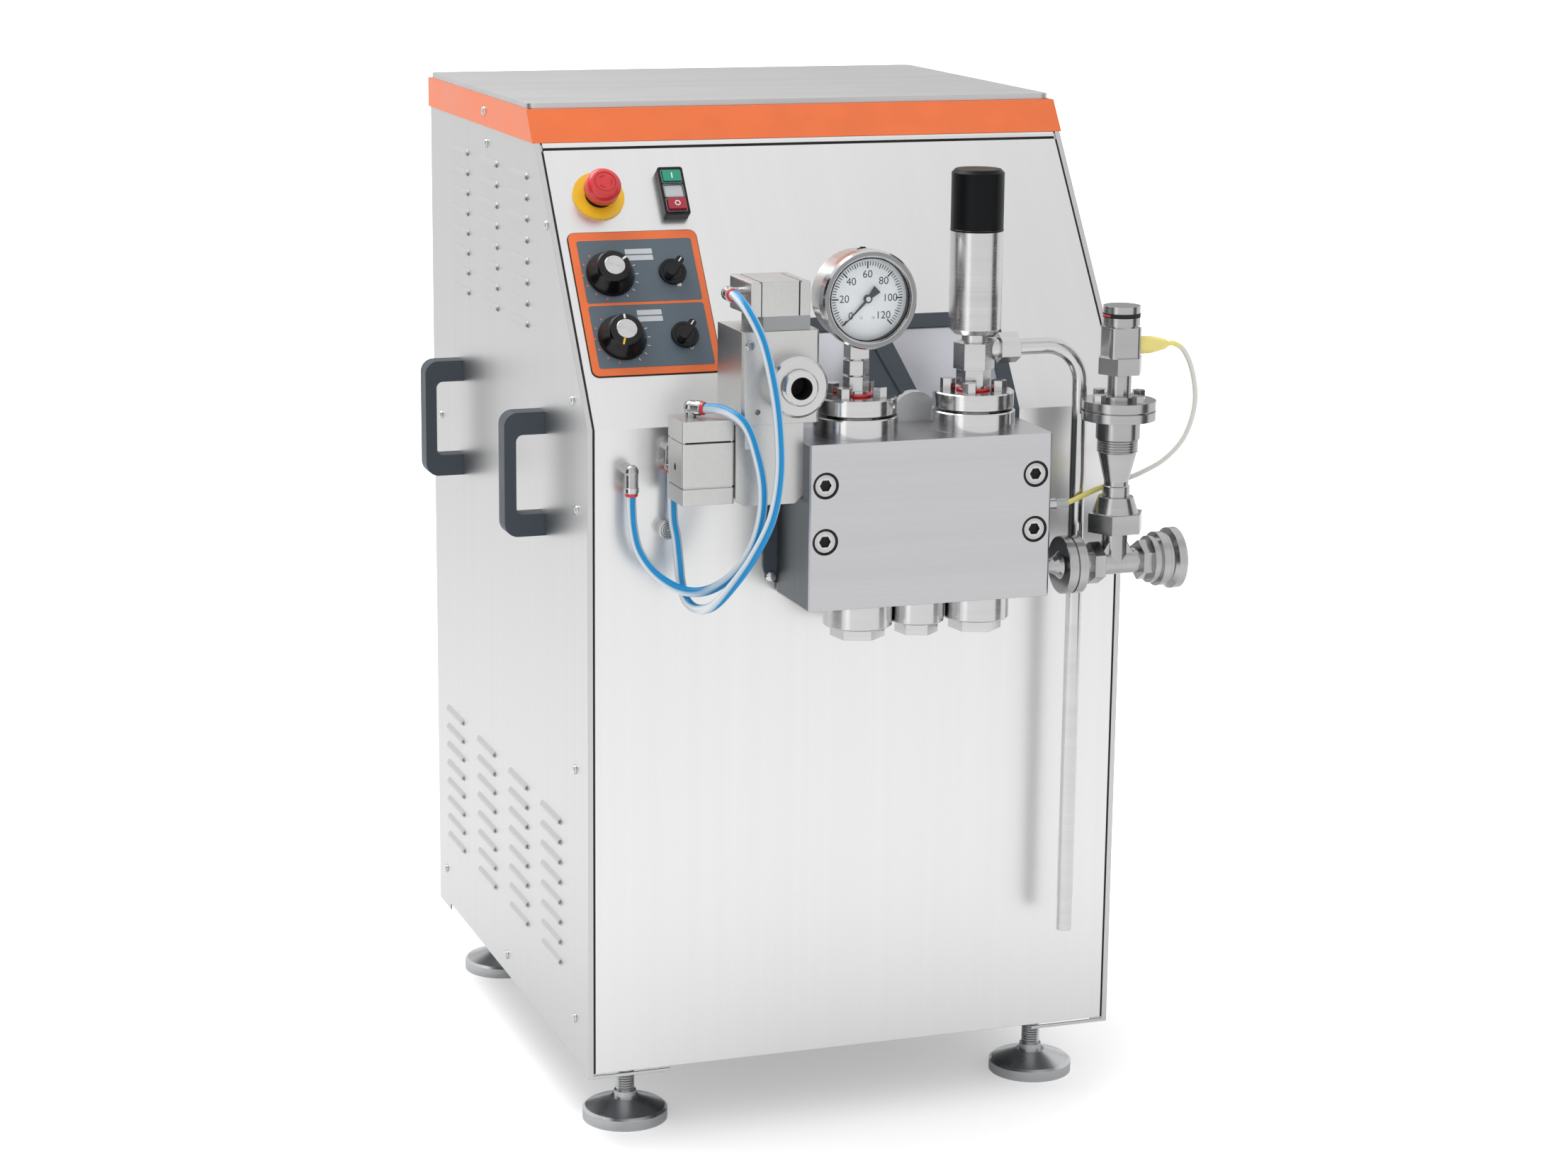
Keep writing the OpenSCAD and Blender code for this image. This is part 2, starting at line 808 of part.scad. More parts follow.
// A selector's grip: disc in the ring, bar across it and shaft; it points to the upper right at rest
module selector(place) {
    bar_w = 9;
    bar_l = 28;
    bar_h = 13;
    rest_turn = -40;
    color("black") placed() on_slope(place[0], place[1]) out_front() rotate(rest_turn) {
        translate([0, 0, plate_t + free_gap]) cylinder(d = selector_bore, h = selector_ring_h);
        translate([-bar_w / 2, -bar_l / 2, plate_t + selector_ring_h + free_gap]) linear_extrude(bar_h)
            rounded_rect(bar_w, bar_l, bar_w / 2 - 0.5);
        translate([0, 0, -shaft_in]) cylinder(d = knob_shaft_d, h = shaft_in + plate_t + free_gap);
    }
}

module upper_selector() { selector(selector_at[0]); }
module lower_selector() { selector(selector_at[1]); }

// Pump head

block_x0 = pump_x - block_w / 2;
block_x1 = pump_x + block_w / 2;
block_screw_d = 16;
block_head_d = 24;
block_head_h = 16;
block_bore_d = 30;
block_screw_l = 40;
block_screw_x = 125;
block_screw_zs = [block_z + 78, block_z + 141];
gland_d = 14;
gland_l = 22;
gland_at = [-72, 738];

// Does something at each of the block's four screws, Z out of the front
module at_block_screws() {
    for (s = [-1, 1], z = block_screw_zs)
        translate([pump_x + s * block_screw_x, -block_front, z]) out_front() children();
}

module pump_block() {
    chamfer = 2;
    sink = block_head_h + 1;
    color("silver") placed() difference() {
        union() {
            translate([block_x0, 0, block_z]) linear_extrude(block_h)
                edged_rect(block_w, block_d, block_front, chamfer);
            translate([block_x1, gland_at[0], gland_at[1]]) rotate([0, 90, 0])
                cylinder(d = gland_d, h = gland_l);
        }
        at_block_screws() {
            translate([0, 0, -sink]) cylinder(d = block_bore_d, h = sink + cut);
            translate([0, 0, -sink - block_screw_l - cut])
                cylinder(d = block_screw_d + 2 * screw_gap, h = block_screw_l + 2 * cut);
        }
        for (x = plunger_xs) translate([x, cut - block_back, plunger_z]) out_front()
            cylinder(d = plunger_d + 2 * fit_gap, h = plunger_bore_depth + cut);
        translate([block_x1 - nozzle_l, inlet_y, inlet_z]) rotate([0, 90, 0])
            cylinder(d = nozzle_bore, h = nozzle_l + cut);
    }
}

cover_screw_d = 8;
cover_head_flats = 15;
cover_head_h = 12;
cover_screw_r = 29;
cover_screw_n = 4;
cover_xs = [gauge_x, relief_x];
cover_turns = [45, 59];

// Does something at each screw of both valve covers, on the covers' tops
module at_cover_screws() {
    for (k = [0, 1], i = [0:cover_screw_n - 1]) translate([cover_xs[k], head_y, cover_top])
        rotate(360 * i / cover_screw_n + cover_turns[k]) translate([cover_screw_r, 0, 0]) children();
}

module head_screws() {
    sink = block_head_h + 1;
    color("lightgray") placed() {
        at_block_screws() translate([0, 0, -sink]) {
            socket_head(block_head_d, block_head_h, block_head_d / 2);
            translate([0, 0, -block_screw_l]) cylinder(d = block_screw_d, h = block_screw_l);
        }
        at_cover_screws() {
            hex_bar(cover_head_flats, cover_head_h);
            translate([0, 0, -disc_h]) cylinder(d = cover_screw_d, h = disc_h);
        }
    }
}

module valve_covers() {
    edge = 1.5;
    neck_r = 30;
    boss_r = 14;
    ring_r = cover_d / 2;
    disc_r = ring_r - cover_step / 2;
    color("silver") placed() {
        for (x = cover_xs) translate([x, head_y, block_top]) rotate_extrude() polygon([
            [0, 0], [ring_r, 0], [ring_r, ring_h - edge], [ring_r - edge, ring_h], [neck_r, ring_h],
            [neck_r, ring_h + ring_gap], [0, ring_h + ring_gap]
        ]);
        difference() {
            for (x = cover_xs) translate([x, head_y, cover_top - disc_h])
                rotate_extrude() polygon([
                    [0, 0], [disc_r - edge, 0], [disc_r, edge], [disc_r, disc_h - edge],
                    [disc_r - edge, disc_h], [boss_r, disc_h], [boss_r, disc_h + boss_h],
                    [0, disc_h + boss_h]
                ]);
            at_cover_screws() translate([0, 0, -disc_h - cut / 2])
                cylinder(d = cover_screw_d + 2 * screw_gap, h = disc_h + cut);
        }
    }
}

module suction_plugs() {
    ring_low = 27;
    hex_low = 13;
    hex_share = 0.68;
    edge = 1.5;
    color("silver") placed() for (i = [0:2]) translate([plunger_xs[i], plug_y, block_z]) mirror([0, 0, 1]) {
        rotate_extrude() polygon([
            [0, 0], [plug_ds[i] / 2, 0], [plug_ds[i] / 2, ring_low - edge],
            [plug_ds[i] / 2 - edge, ring_low], [0, ring_low]
        ]);
        translate([0, 0, ring_low]) rotate(hex_turn) hex_bar(hex_share * plug_ds[i], hex_low);
    }
}

// Pressure gauge; its own Z points out of the front

case_back_y = head_y + 8;
case_rim = 4;
glass_t = 2;
bezel_lip = 3;
dial_level = gauge_depth - dial_sink;

module at_gauge() {
    translate([gauge_x, case_back_y, gauge_z]) out_front() children();
}

module gauge_body() {
    stem_neck = 20;
    stem_top = gauge_z - gauge_case_d / 2 + 6;
    color("silver") placed() {
        for (i = [0, 1]) translate([gauge_x, head_y, stem_low + i * stem_hex_h]) rotate(hex_turn)
            hex_bar(stem_hex, stem_hex_h - 2);
        translate([gauge_x - stem_square / 2, head_y - stem_square / 2, stem_low + 2 * stem_hex_h])
            cube([stem_square, stem_square, stem_top - stem_low - 2 * stem_hex_h]);
        translate([gauge_x, head_y, stem_low]) cylinder(d = stem_neck, h = stem_top - stem_low);
        at_gauge() difference() {
            cylinder(d = gauge_case_d, h = gauge_depth);
            translate([0, 0, dial_level]) cylinder(d = gauge_case_d - 2 * case_rim, h = gauge_depth);
            translate([0, 0, dial_level - shaft_in]) cylinder(d = pin_d + 2 * fit_gap, h = gauge_depth);
        }
    }
}

module gauge_glass() {
    color([0.8, 0.9, 0.95, 0.4]) placed() at_gauge() translate([0, 0, gauge_depth])
        cylinder(d = gauge_case_d - case_rim, h = glass_t);
}

module gauge_bezel() {
    skirt = 10;
    r0 = gauge_case_d / 2 + fit_gap;
    lip_r = gauge_case_d / 2 - case_rim - 1;
    level = gauge_depth + glass_t;
    color("silver") placed() at_gauge() rotate_extrude() polygon([
        [r0, gauge_depth - skirt], [gauge_d / 2, gauge_depth - skirt], [gauge_d / 2, level],
        [gauge_d / 2 - 2, level + bezel_lip], [lip_r + 2, level + bezel_lip], [lip_r, level], [r0, level]
    ]);
}

module gauge_pointer() {
    blade_l = 40;
    blade_w = 3;
    tip_w = 0.8;
    tail_l = 15;
    tail_w = 10;
    hub_d = 9;
    hub_h = 4;
    blade_t = 1;
    rest_turn = 135;
    color("black") placed() at_gauge() rotate(rest_turn) {
        translate([0, 0, dial_level + free_gap]) cylinder(d = hub_d, h = hub_h);
        translate([0, 0, dial_level + hub_h - blade_t]) linear_extrude(blade_t)
            polygon([
                [-blade_w / 2, 0], [-tail_w / 2, -tail_l], [tail_w / 2, -tail_l], [blade_w / 2, 0],
                [tip_w / 2, blade_l], [-tip_w / 2, blade_l]
            ]);
        translate([0, 0, dial_level - shaft_in + 1]) cylinder(d = pin_d, h = shaft_in);
    }
}

// Relief valve

cap_stud_d = 16;
cap_stud_h = 30;
union_x = relief_x + 28;

module relief_body() {
    low_flats = 34;
    big_flats = 40;
    neck_d = 29;
    chamfer = 6;
    union_d = 24;
    color("silver") placed() translate([relief_x, head_y, 0]) {
        translate([0, 0, relief_low]) rotate(hex_turn) hex_bar(low_flats, relief_hex_low);
        translate([0, 0, relief_low + relief_hex_low]) rotate(hex_turn) hex_bar(big_flats, relief_hex_h);
        translate([0, 0, tower_z - relief_neck_h]) cylinder(d = neck_d, h = relief_neck_h);
        translate([0, 0, tower_z]) rotate_extrude() polygon([
            [0, 0], [tower_d / 2 - chamfer, 0], [tower_d / 2, chamfer], [tower_d / 2, tower_h], [0, tower_h]
        ]);
        translate([0, 0, tower_top]) cylinder(d = cap_stud_d, h = cap_stud_h);
        translate([0, 0, drain_run_z]) rotate([0, 90, 0]) cylinder(d = union_d, h = union_x - relief_x);
    }
}

module relief_cap() {
    edge = 4;
    color("black") placed() translate([relief_x, head_y, tower_top + free_gap]) difference() {
        rotate_extrude() polygon([
            [0, 0], [tower_d / 2, 0], [tower_d / 2, relief_cap_h - edge],
            [tower_d / 2 - edge, relief_cap_h], [0, relief_cap_h]
        ]);
        translate([0, 0, -cut]) cylinder(d = cap_stud_d + 2 * fit_gap, h = cap_stud_h + 1 + cut);
    }
}

// The drain tube's path as a round bar of diameter d, longer by the given ends
module drain_path(d, extra) {
    run_x = union_x + union_l - 4;
    fall_top = drain_run_z - drain_bend;
    translate([run_x - extra, head_y, drain_run_z]) rotate([0, 90, 0])
        cylinder(d = d, h = drain_x - drain_bend - run_x + extra);
    translate([drain_x - drain_bend, head_y, fall_top]) rotate([90, 0, 0])
        rotate_extrude(angle = 90) translate([drain_bend, 0]) circle(d = d);
    translate([drain_x, head_y, drain_z - extra]) cylinder(d = d, h = fall_top - drain_z + extra);
}

module drain_tube() {
    nut_flats = 30;
    drain_end_d = drain_d - 0.6;
    drain_end_l = 40;
    color("silver") placed() difference() {
        union() {
            difference() {
                drain_path(drain_d, 0);
                translate([drain_x, head_y, drain_z - cut]) cylinder(d = 2 * drain_d, h = drain_end_l + cut);
            }
            translate([drain_x, head_y, drain_z]) cylinder(d = drain_end_d, h = drain_end_l);
            translate([union_x, head_y, drain_run_z]) rotate([0, 90, 0]) hex_bar(nut_flats, union_l);
        }
        drain_path(drain_d - 2 * drain_wall, cut);
    }
}

// Homogenizing valve

module valve_body() {
    chamfer = 3;
    plug_hole = 6;
    plug_deep = 11;
    plug_at = [18, 14];
    color("gainsboro") placed() difference() {
        translate([valve_x, 0, lower_top]) linear_extrude(valve_h)
            edged_rect(valve_w, valve_d, valve_front, chamfer);
        translate([outlet_x, -valve_front - cut, outlet_z]) rotate([-90, 0, 0])
            cylinder(d = outlet_bore - 3, h = valve_d / 2);
        translate([valve_x + plug_at[0], -valve_front - cut, lower_top + plug_at[1]]) rotate([-90, 0, 0])
            cylinder(d = plug_hole, h = plug_deep + cut);
    }
}

module outlet_union() {
    collar_r = 19;
    edge = 3;
    face_r = outlet_d / 2 - edge;
    ring_l = outlet_l - 8;
    color("silver") placed() translate([outlet_x, -valve_front, outlet_z]) out_front()
        rotate_extrude() polygon([
            [outlet_bore / 2, 0], [outlet_d / 2, 0], [outlet_d / 2, ring_l - edge], [face_r, ring_l],
            [collar_r + 1, ring_l], [collar_r + 1, ring_l - 4], [collar_r, ring_l - 4],
            [collar_r, outlet_l - 1], [collar_r - 1, outlet_l], [outlet_bore / 2, outlet_l]
        ]);
}

module lower_valve_block() {
    chamfer = 9;
    color("gainsboro") placed() translate([lower_x, -lower_back, 0]) out_front()
        linear_extrude(lower_front - lower_back) polygon([
            [chamfer, lower_z], [lower_w - chamfer, lower_z], [lower_w, lower_z + chamfer],
            [lower_w, lower_top], [0, lower_top], [0, lower_z + chamfer]
        ]);
}

module upper_air_cylinder() {
    groove = 2;
    inset = 2;
    corner_r = 3;
    color("lightgray") placed() translate([upper_x, upper_d - upper_front, valve_top]) out_front() {
        linear_extrude(upper_d) translate([inset, 0]) square([upper_w - inset, upper_band]);
        linear_extrude(upper_d) difference() {
            translate([-upper_plate, upper_band])
                rounded_rect(upper_w + upper_plate, upper_h - upper_band, corner_r);
            for (x = [upper_w - upper_plate, -groove]) translate([x, upper_h - inset])
                square([groove, inset + cut]);
        }
    }
}

module lower_air_cylinder() {
    inset = 2;
    corner_r = 3;
    port_d = 9;
    port_z = 39;
    middle_z = cyl_foot_h + cyl_groove;
    head_z = middle_z + cyl_middle_h + cyl_groove;
    color("lightgray") placed() translate([lower_cyl_x, -lower_cyl_front, lower_cyl_z]) difference() {
        union() {
            translate([inset, inset, 0])
                cube([lower_cyl_w - 2 * inset, lower_cyl_d - 2 * inset, lower_cyl_h]);
            for (l = [[0, cyl_foot_h], [middle_z, cyl_middle_h], [head_z, cyl_head_h]])
                translate([0, 0, l[0]]) linear_extrude(l[1])
                    rounded_rect(lower_cyl_w, lower_cyl_d, corner_r);
        }
        translate([-cut, lower_cyl_d / 2, port_z]) rotate([0, 90, 0]) cylinder(d = port_d, h = 12);
    }
}

// An elbow: a foot along its own Z from zero, then an arm along its X
module elbow(rise, arm) {
    cylinder(d = elbow_d - 2, h = rise);
    translate([0, 0, rise]) sphere(d = elbow_d + 1);
    translate([0, 0, rise]) rotate([0, 90, 0]) cylinder(d = elbow_d, h = arm);
}

// An elbow on the front panel whose arm points down
module panel_elbow(x, z, rise) {
    translate([x, 0, z]) out_front() rotate(-90) elbow(rise, panel_arm);
}

module air_fittings() {
    color("silver") placed() {
        translate(lower_elbow_at) rotate(lower_elbow_turn) elbow(elbow_rise, elbow_arm);
        translate(upper_elbow_at) rotate([0, -90, 0]) rotate(-90) elbow(elbow_arm, elbow_arm);
        panel_elbow(bulkhead_x, bulkhead_z, panel_rise);
        panel_elbow(rear_fitting_x, rear_fitting_z, rear_rise);
    }
}

vent_shaft_d = 8;

module vent_knob() {
    height = 13;
    teeth = 24;
    smooth_h = 2;
    tooth_d = 1.6;
    color("silver") placed() translate([vent_x, 0, vent_z]) out_front() {
        translate([0, 0, free_gap]) difference() {
            cylinder(d = vent_d, h = height);
            for (i = [0:teeth - 1]) rotate(360 * i / teeth) translate([vent_d / 2 + 0.3, 0, smooth_h])
                cylinder(d = tooth_d, h = height - 2 * smooth_h);
        }
        translate([0, 0, -shaft_in]) cylinder(d = vent_shaft_d, h = shaft_in + free_gap);
    }
}

// Window in the front panel

dome_r = 27;
dome_x = pump_x + 22;
dome_z = neck_high + dome_r / 3;

// The trim with a wide rib down across the window, which stops at the crankcase's dome
module window_trim() {
    rib_top = window_high_s + trim_w / 2;
    rib_low = 4;
    ridge_d = 6;
    ridge_turn = 18;
    ridge_l = rib_top / cos(ridge_turn) - 10;
    color("darkslategray") placed() difference() {
        union() {
            on_slope(pump_x, 0) out_front() linear_extrude(trim_t)
                polygon([[-20, rib_top], [5, rib_top], [36, rib_low], [-30, rib_low]]);
            on_slope(pump_x - 20, rib_top) translate([0, -trim_t, 0]) rotate([0, -ridge_turn, 0])
                mirror([0, 0, 1]) cylinder(d = ridge_d, h = ridge_l);
        }
        translate([dome_x, guard_back, dome_z]) out_front()
            cylinder(r = dome_r + screw_gap, h = 2 * guard_back);
    }
    color("darkslategray") placed() difference() {
        bent_plate(window_x0 - trim_w, window_x1 + trim_w, window_low - trim_w, window_high_s + trim_w,
            window_r + trim_w / 2, 0, trim_t);
        bent_plate(window_x0, window_x1, window_low, window_high_s, window_r, -sheet, trim_t + 2 * sheet);
    }
}

// Height of the slope's inner face at a depth
function slope_under(y) = bend_z + (y - sheet / cos(lean)) / tan(lean);

// A tray behind the window, open to the front, with a hole for the crankcase's neck
module splash_guard() {
    edge = 3;
    x0 = window_x0 - edge;
    x1 = window_x1 + edge;
    low = window_low - edge;
    inner_back = guard_back - guard_t;
    color("lavender") placed() {
        for (x = [x0, x1 - guard_t]) translate([x, 0, 0]) side_slab(guard_t) polygon([
            [sheet, low], [sheet, bend_z - sheet * tan(lean / 2)],
            [guard_back, slope_under(guard_back)], [guard_back, low]
        ]);
        translate([x0, sheet, low]) cube([x1 - x0, guard_back - sheet, guard_t]);
        difference() {
            translate([x0, inner_back, low]) cube([x1 - x0, guard_t, slope_under(inner_back) - low]);
            translate([pump_x - neck_w / 2 - free_gap, inner_back - cut, neck_low - free_gap])
                cube([neck_w + 2 * free_gap, guard_t + 2 * cut, neck_high - neck_low + 2 * free_gap]);
        }
    }
}

// Inlet line

nozzle_bore = 12;
tee_bore = inlet_bore - 2;
socket_l = 60;

// Turns a profile of radius and length round the inlet line, length along X from the block
module along_inlet() {
    translate([0, inlet_y, inlet_z]) rotate([0, 90, 0]) children();
}

clamp_x = block_x1 + nozzle_l;
tee_x = clamp_x + 2 * clamp_t + clamp_gap;

module inlet_tee() {
    hex_x = tee_x + 13;
    hex_l = 13;
    web_l = 26;
    end_hex_l = 12;
    neck_r = 8;
    end_x = inlet_end_x - 48;
    step = 9;
    step_x = end_x + end_hex_l;
    ferrule_t = 10;
    color("silver") placed() difference() {
        union() {
            along_inlet() rotate_extrude() polygon([
                [0, block_x1], [neck_r, block_x1], [neck_r, block_x1 + 6], [neck_r + 1, block_x1 + 10],
                [neck_r + 4, clamp_x - 4], [neck_r + 8, clamp_x], [clamp_d / 2 - 1, clamp_x],
                [clamp_d / 2, clamp_x + 1], [clamp_d / 2, clamp_x + clamp_t],
                [clamp_d / 2 - 3, clamp_x + clamp_t], [clamp_d / 2 - 3, clamp_x + clamp_t + clamp_gap],
                [clamp_d / 2, clamp_x + clamp_t + clamp_gap], [clamp_d / 2, tee_x], [0, tee_x]
            ]);
            along_inlet() translate([0, 0, hex_x]) hex_bar(tee_hex, hex_l);
            along_inlet() translate([0, 0, tee_x]) cylinder(d = inlet_pipe_d, h = end_x - tee_x);
            translate([riser_x, inlet_y, inlet_z]) intersection() {
                cylinder(d1 = inlet_pipe_d + web_l, d2 = inlet_pipe_d - 2, h = web_l);
                translate([-web_l, -inlet_pipe_d / 3, 0]) cube([2 * web_l, inlet_pipe_d / 1.5, web_l]);
            }
            translate([riser_x, inlet_y, inlet_z]) cylinder(d = inlet_pipe_d, h = riser_z - inlet_z);
            along_inlet() translate([0, 0, end_x]) hex_bar(tee_hex - 2, end_hex_l);
            along_inlet() rotate_extrude() polygon([
                [0, step_x], [27, step_x], [27, step_x + step], [31, step_x + step], [31, step_x + 2 * step],
                [29, step_x + 2 * step], [29, inlet_end_x - ferrule_t - 4],
                [ferrule_d / 2, inlet_end_x - ferrule_t], [ferrule_d / 2, inlet_end_x], [0, inlet_end_x]
            ]);
        }
        along_inlet() translate([0, 0, inlet_end_x - socket_l]) cylinder(d = inlet_bore, h = socket_l + cut);
        along_inlet() translate([0, 0, clamp_x + clamp_t])
            cylinder(d = tee_bore, h = inlet_end_x - clamp_x - clamp_t);
        along_inlet() translate([0, 0, block_x1 - cut])
            cylinder(d = nozzle_bore - 2, h = nozzle_l + 2 * clamp_t);
        translate([riser_x, inlet_y, inlet_z]) cylinder(d = tee_bore, h = riser_z);
    }
}

// Rises from the tee to the flanges
module inlet_union() {
    nut_flats = 58;
    nut_h = 22;
    top = flange_z - riser_z;
    thread_r = 22.5;
    thread_n = 5;
    thread_pitch = 3;
    thread_z = nut_h + 69;
    collar_r = 25;
    color("silver") placed() translate([riser_x, inlet_y, riser_z]) difference() {
        union() {
            hex_bar(nut_flats, nut_h);
            rotate_extrude() polygon(concat(
                [[0, nut_h], [26, nut_h], [20, nut_h + 18], [15.5, nut_h + 18], [15.5, nut_h + 30],
                 [14, nut_h + 31], [14, nut_h + 36], [thread_r - 0.5, thread_z]],
                [for (i = [0:thread_n - 1], p = [[-0.5, 0.2], [0.8, 1.2], [0.8, 2], [-0.5, 2.9]])
                    [thread_r + p[0], thread_z + i * thread_pitch + p[1]]],
                [[collar_r, thread_z + thread_n * thread_pitch + 1], [collar_r, top], [0, top]]));
        }
        translate([0, 0, -cut]) cylinder(d = tee_bore, h = top + 2 * cut);
    }
}

module sensor_flanges() {
    bolt_n = 4;
    bolt_r = sensor_flange_d / 2 - 11;
    bolt_flats = 13;
    bolt_h = 8;
    height = 2 * flange_t + flange_gap;
    color("silver") placed() translate([riser_x, inlet_y, flange_z]) {
        difference() {
            union() {
                cylinder(d = sensor_flange_d, h = flange_t);
                cylinder(d = sensor_flange_d - 8, h = height);
                translate([0, 0, flange_t + flange_gap]) cylinder(d = sensor_flange_d, h = flange_t);
            }
            translate([0, 0, -cut]) cylinder(d = tee_bore, h = flange_t);
        }
        for (i = [0:bolt_n - 1]) rotate(360 * i / bolt_n + 20) translate([bolt_r, 0, height])
            hex_bar(bolt_flats, bolt_h);
    }
}

module flow_sensor() {
    neck_d = 27;
    neck_h = 30;
    nut_flats = 46;
    nut_h = 19;
    body_w = 38;
    body_h = 34;
    cap_h = 24;
    base_d = 44;
    base_h = 5;
    color("silver") placed() translate([riser_x, inlet_y, sensor_z]) {
        cylinder(d = base_d, h = base_h);
        cylinder(d = neck_d, h = neck_h);
        translate([0, 0, neck_h]) hex_bar(nut_flats, nut_h);
        translate([0, 0, neck_h + nut_h]) {
            cylinder(d = body_w, h = body_h + cap_h);
            translate([-body_w / 2, -body_w / 2, 0]) linear_extrude(body_h) rounded_rect(body_w, body_w, 8);
            translate([0, 0, body_h + 2]) cylinder(d = body_w + 4, h = cap_h - 2);
        }
        translate([boot_in, 0, boot_z - sensor_z]) rotate([0, 90, 0]) rotate_extrude()
            polygon([[0, 0], [9, 0], [9.5, 18], [6, boot_l - 3], [3.5, boot_l], [0, boot_l]]);
    }
}

// Drive inside the cabinet

bore_end = case_y0 + 70;
crank_seat = 60;

module crankcase() {
    arch_r = 62;
    arch_drop = 30;
    dome_back = guard_back - guard_t - 2;
    neck_y = -block_back;
    color("lightgray") placed() difference() {
        union() {
            translate([pump_x, case_y1, deck_z]) out_front() linear_extrude(case_y1 - case_y0) {
                translate([-case_w / 2, 0]) square([case_w, case_h]);
                translate([0, case_h - arch_drop]) circle(arch_r);
            }
            translate([pump_x - neck_w / 2, neck_y, neck_low])
                cube([neck_w, case_y0 - neck_y, neck_high - neck_low]);
            translate([dome_x, dome_back, dome_z]) out_front()
                cylinder(r = dome_r, h = dome_back);
        }
        for (x = plunger_xs) translate([x, bore_end, plunger_z]) out_front()
            cylinder(d = plunger_d + 2 * fit_gap, h = bore_end - neck_y + cut);
        translate([pump_x + case_w / 2 - crank_seat, crank_y, crank_z]) rotate([0, 90, 0])
            cylinder(d = shaft_d + 2 * fit_gap, h = crank_seat + cut);
    }
}

// A plunger at mid stroke, running from the block into the crankcase
module plunger(x) {
    front = block_back + plunger_bore_depth - plunger_stroke / 2 - 2;
    back = bore_end - plunger_stroke / 2 - 2;
    color("silver") placed() translate([x, back, plunger_z]) out_front()
        cylinder(d = plunger_d, h = back + front);
}

module left_plunger() { plunger(plunger_xs[0]); }
module middle_plunger() { plunger(plunger_xs[1]); }
module right_plunger() { plunger(plunger_xs[2]); }

motor_l = 210;
motor_x0 = pump_x - 110;
motor_shaft_in = 50;

module drive_motor() {
    foot_low = rail_z + rail_h;
    foot_t = 28;
    foot_in = 20;
    color("steelblue") placed() difference() {
        union() {
            translate([motor_x0, motor_y, motor_z]) rotate([0, 90, 0]) cylinder(d = motor_d, h = motor_l);
            for (y = [rail_ys[1], rail_ys[2]]) translate([motor_x0 + foot_in, y - foot_t / 2, foot_low])
                cube([motor_l - 2 * foot_in, foot_t, motor_z - foot_low]);
        }
        translate([motor_x0 + motor_l - motor_shaft_in, motor_y, motor_z]) rotate([0, 90, 0])
            cylinder(d = motor_shaft_d + 2 * fit_gap, h = motor_shaft_in + cut);
    }
}

module motor_pulley() {
    x0 = motor_x0 + motor_l - motor_shaft_in + 1;
    color("dimgray") placed() {
        translate([pulley_x, motor_y, motor_z]) rotate([0, 90, 0]) grooved_pulley(small_d, pulley_w, 0);
        translate([x0, motor_y, motor_z]) rotate([0, 90, 0])
            cylinder(d = motor_shaft_d, h = pulley_x - x0 + cut);
    }
}

module crank_pulley() {
    x0 = pump_x + case_w / 2 - crank_seat + 2;
    hole_n = 6;
    hole_d = 64;
    hole_r = crank_d / 4 + 8;
    color("dimgray") placed() {
        difference() {
            translate([pulley_x, crank_y, crank_z]) rotate([0, 90, 0]) grooved_pulley(crank_d, pulley_w, 0);
            for (i = [0:hole_n - 1]) translate([pulley_x - cut, crank_y, crank_z]) rotate([0, 90, 0])
                rotate(360 * i / hole_n) translate([hole_r, 0, 0])
                    cylinder(d = hole_d, h = pulley_w + 2 * cut);
        }
        translate([x0, crank_y, crank_z]) rotate([0, 90, 0]) cylinder(d = shaft_d, h = pulley_x - x0 + cut);
    }
}

belt_steps = 48;

// Points on an arc in the plane of depth and height
function arc_points(middle, r, from, sweep) = [for (i = [0:belt_steps])
    let (a = from + sweep * i / belt_steps) middle + r * [cos(a), sin(a)]];

// Outline of a band round both pulleys at a distance from their rims
module belt_outline(grow) {
    upper = [crank_y, crank_z];
    lower = [motor_y, motor_z];
    way = lower - upper;
    down = atan2(way[1], way[0]);
    swing = acos((crank_d - small_d) / 2 / norm(way));
    polygon(concat(
        arc_points(upper, crank_d / 2 + grow, down + swing, 360 - 2 * swing),
        arc_points(lower, small_d / 2 + grow, down - swing, 2 * swing)
    ));
}

module drive_belt() {
    edge = 4;
    color("black") placed() translate([pulley_x + edge, 0, 0]) side_slab(pulley_w - 2 * edge) difference() {
        belt_outline(free_gap + belt_t);
        belt_outline(free_gap);
    }
}

// Cords: each route starts and ends on the face of its fitting

tube_d = 11;
tube_sides = 10;
cable_d = 6;
cable_sides = 8;
lower_arm_way = [cos(lower_elbow_turn), sin(lower_elbow_turn), 0];
lower_elbow_end = lower_elbow_at + [0, 0, elbow_rise] + elbow_arm * lower_arm_way;
upper_elbow_end = upper_elbow_at - [elbow_arm, elbow_arm, 0];
bulkhead_end = [bulkhead_x, -panel_rise, bulkhead_z - panel_arm];
rear_end = [rear_fitting_x, -rear_rise, rear_fitting_z - panel_arm];
boot_end = [riser_x + boot_in + boot_l, inlet_y, boot_z];
gland_end = [block_x1 + gland_l, gland_at[0], gland_at[1]];

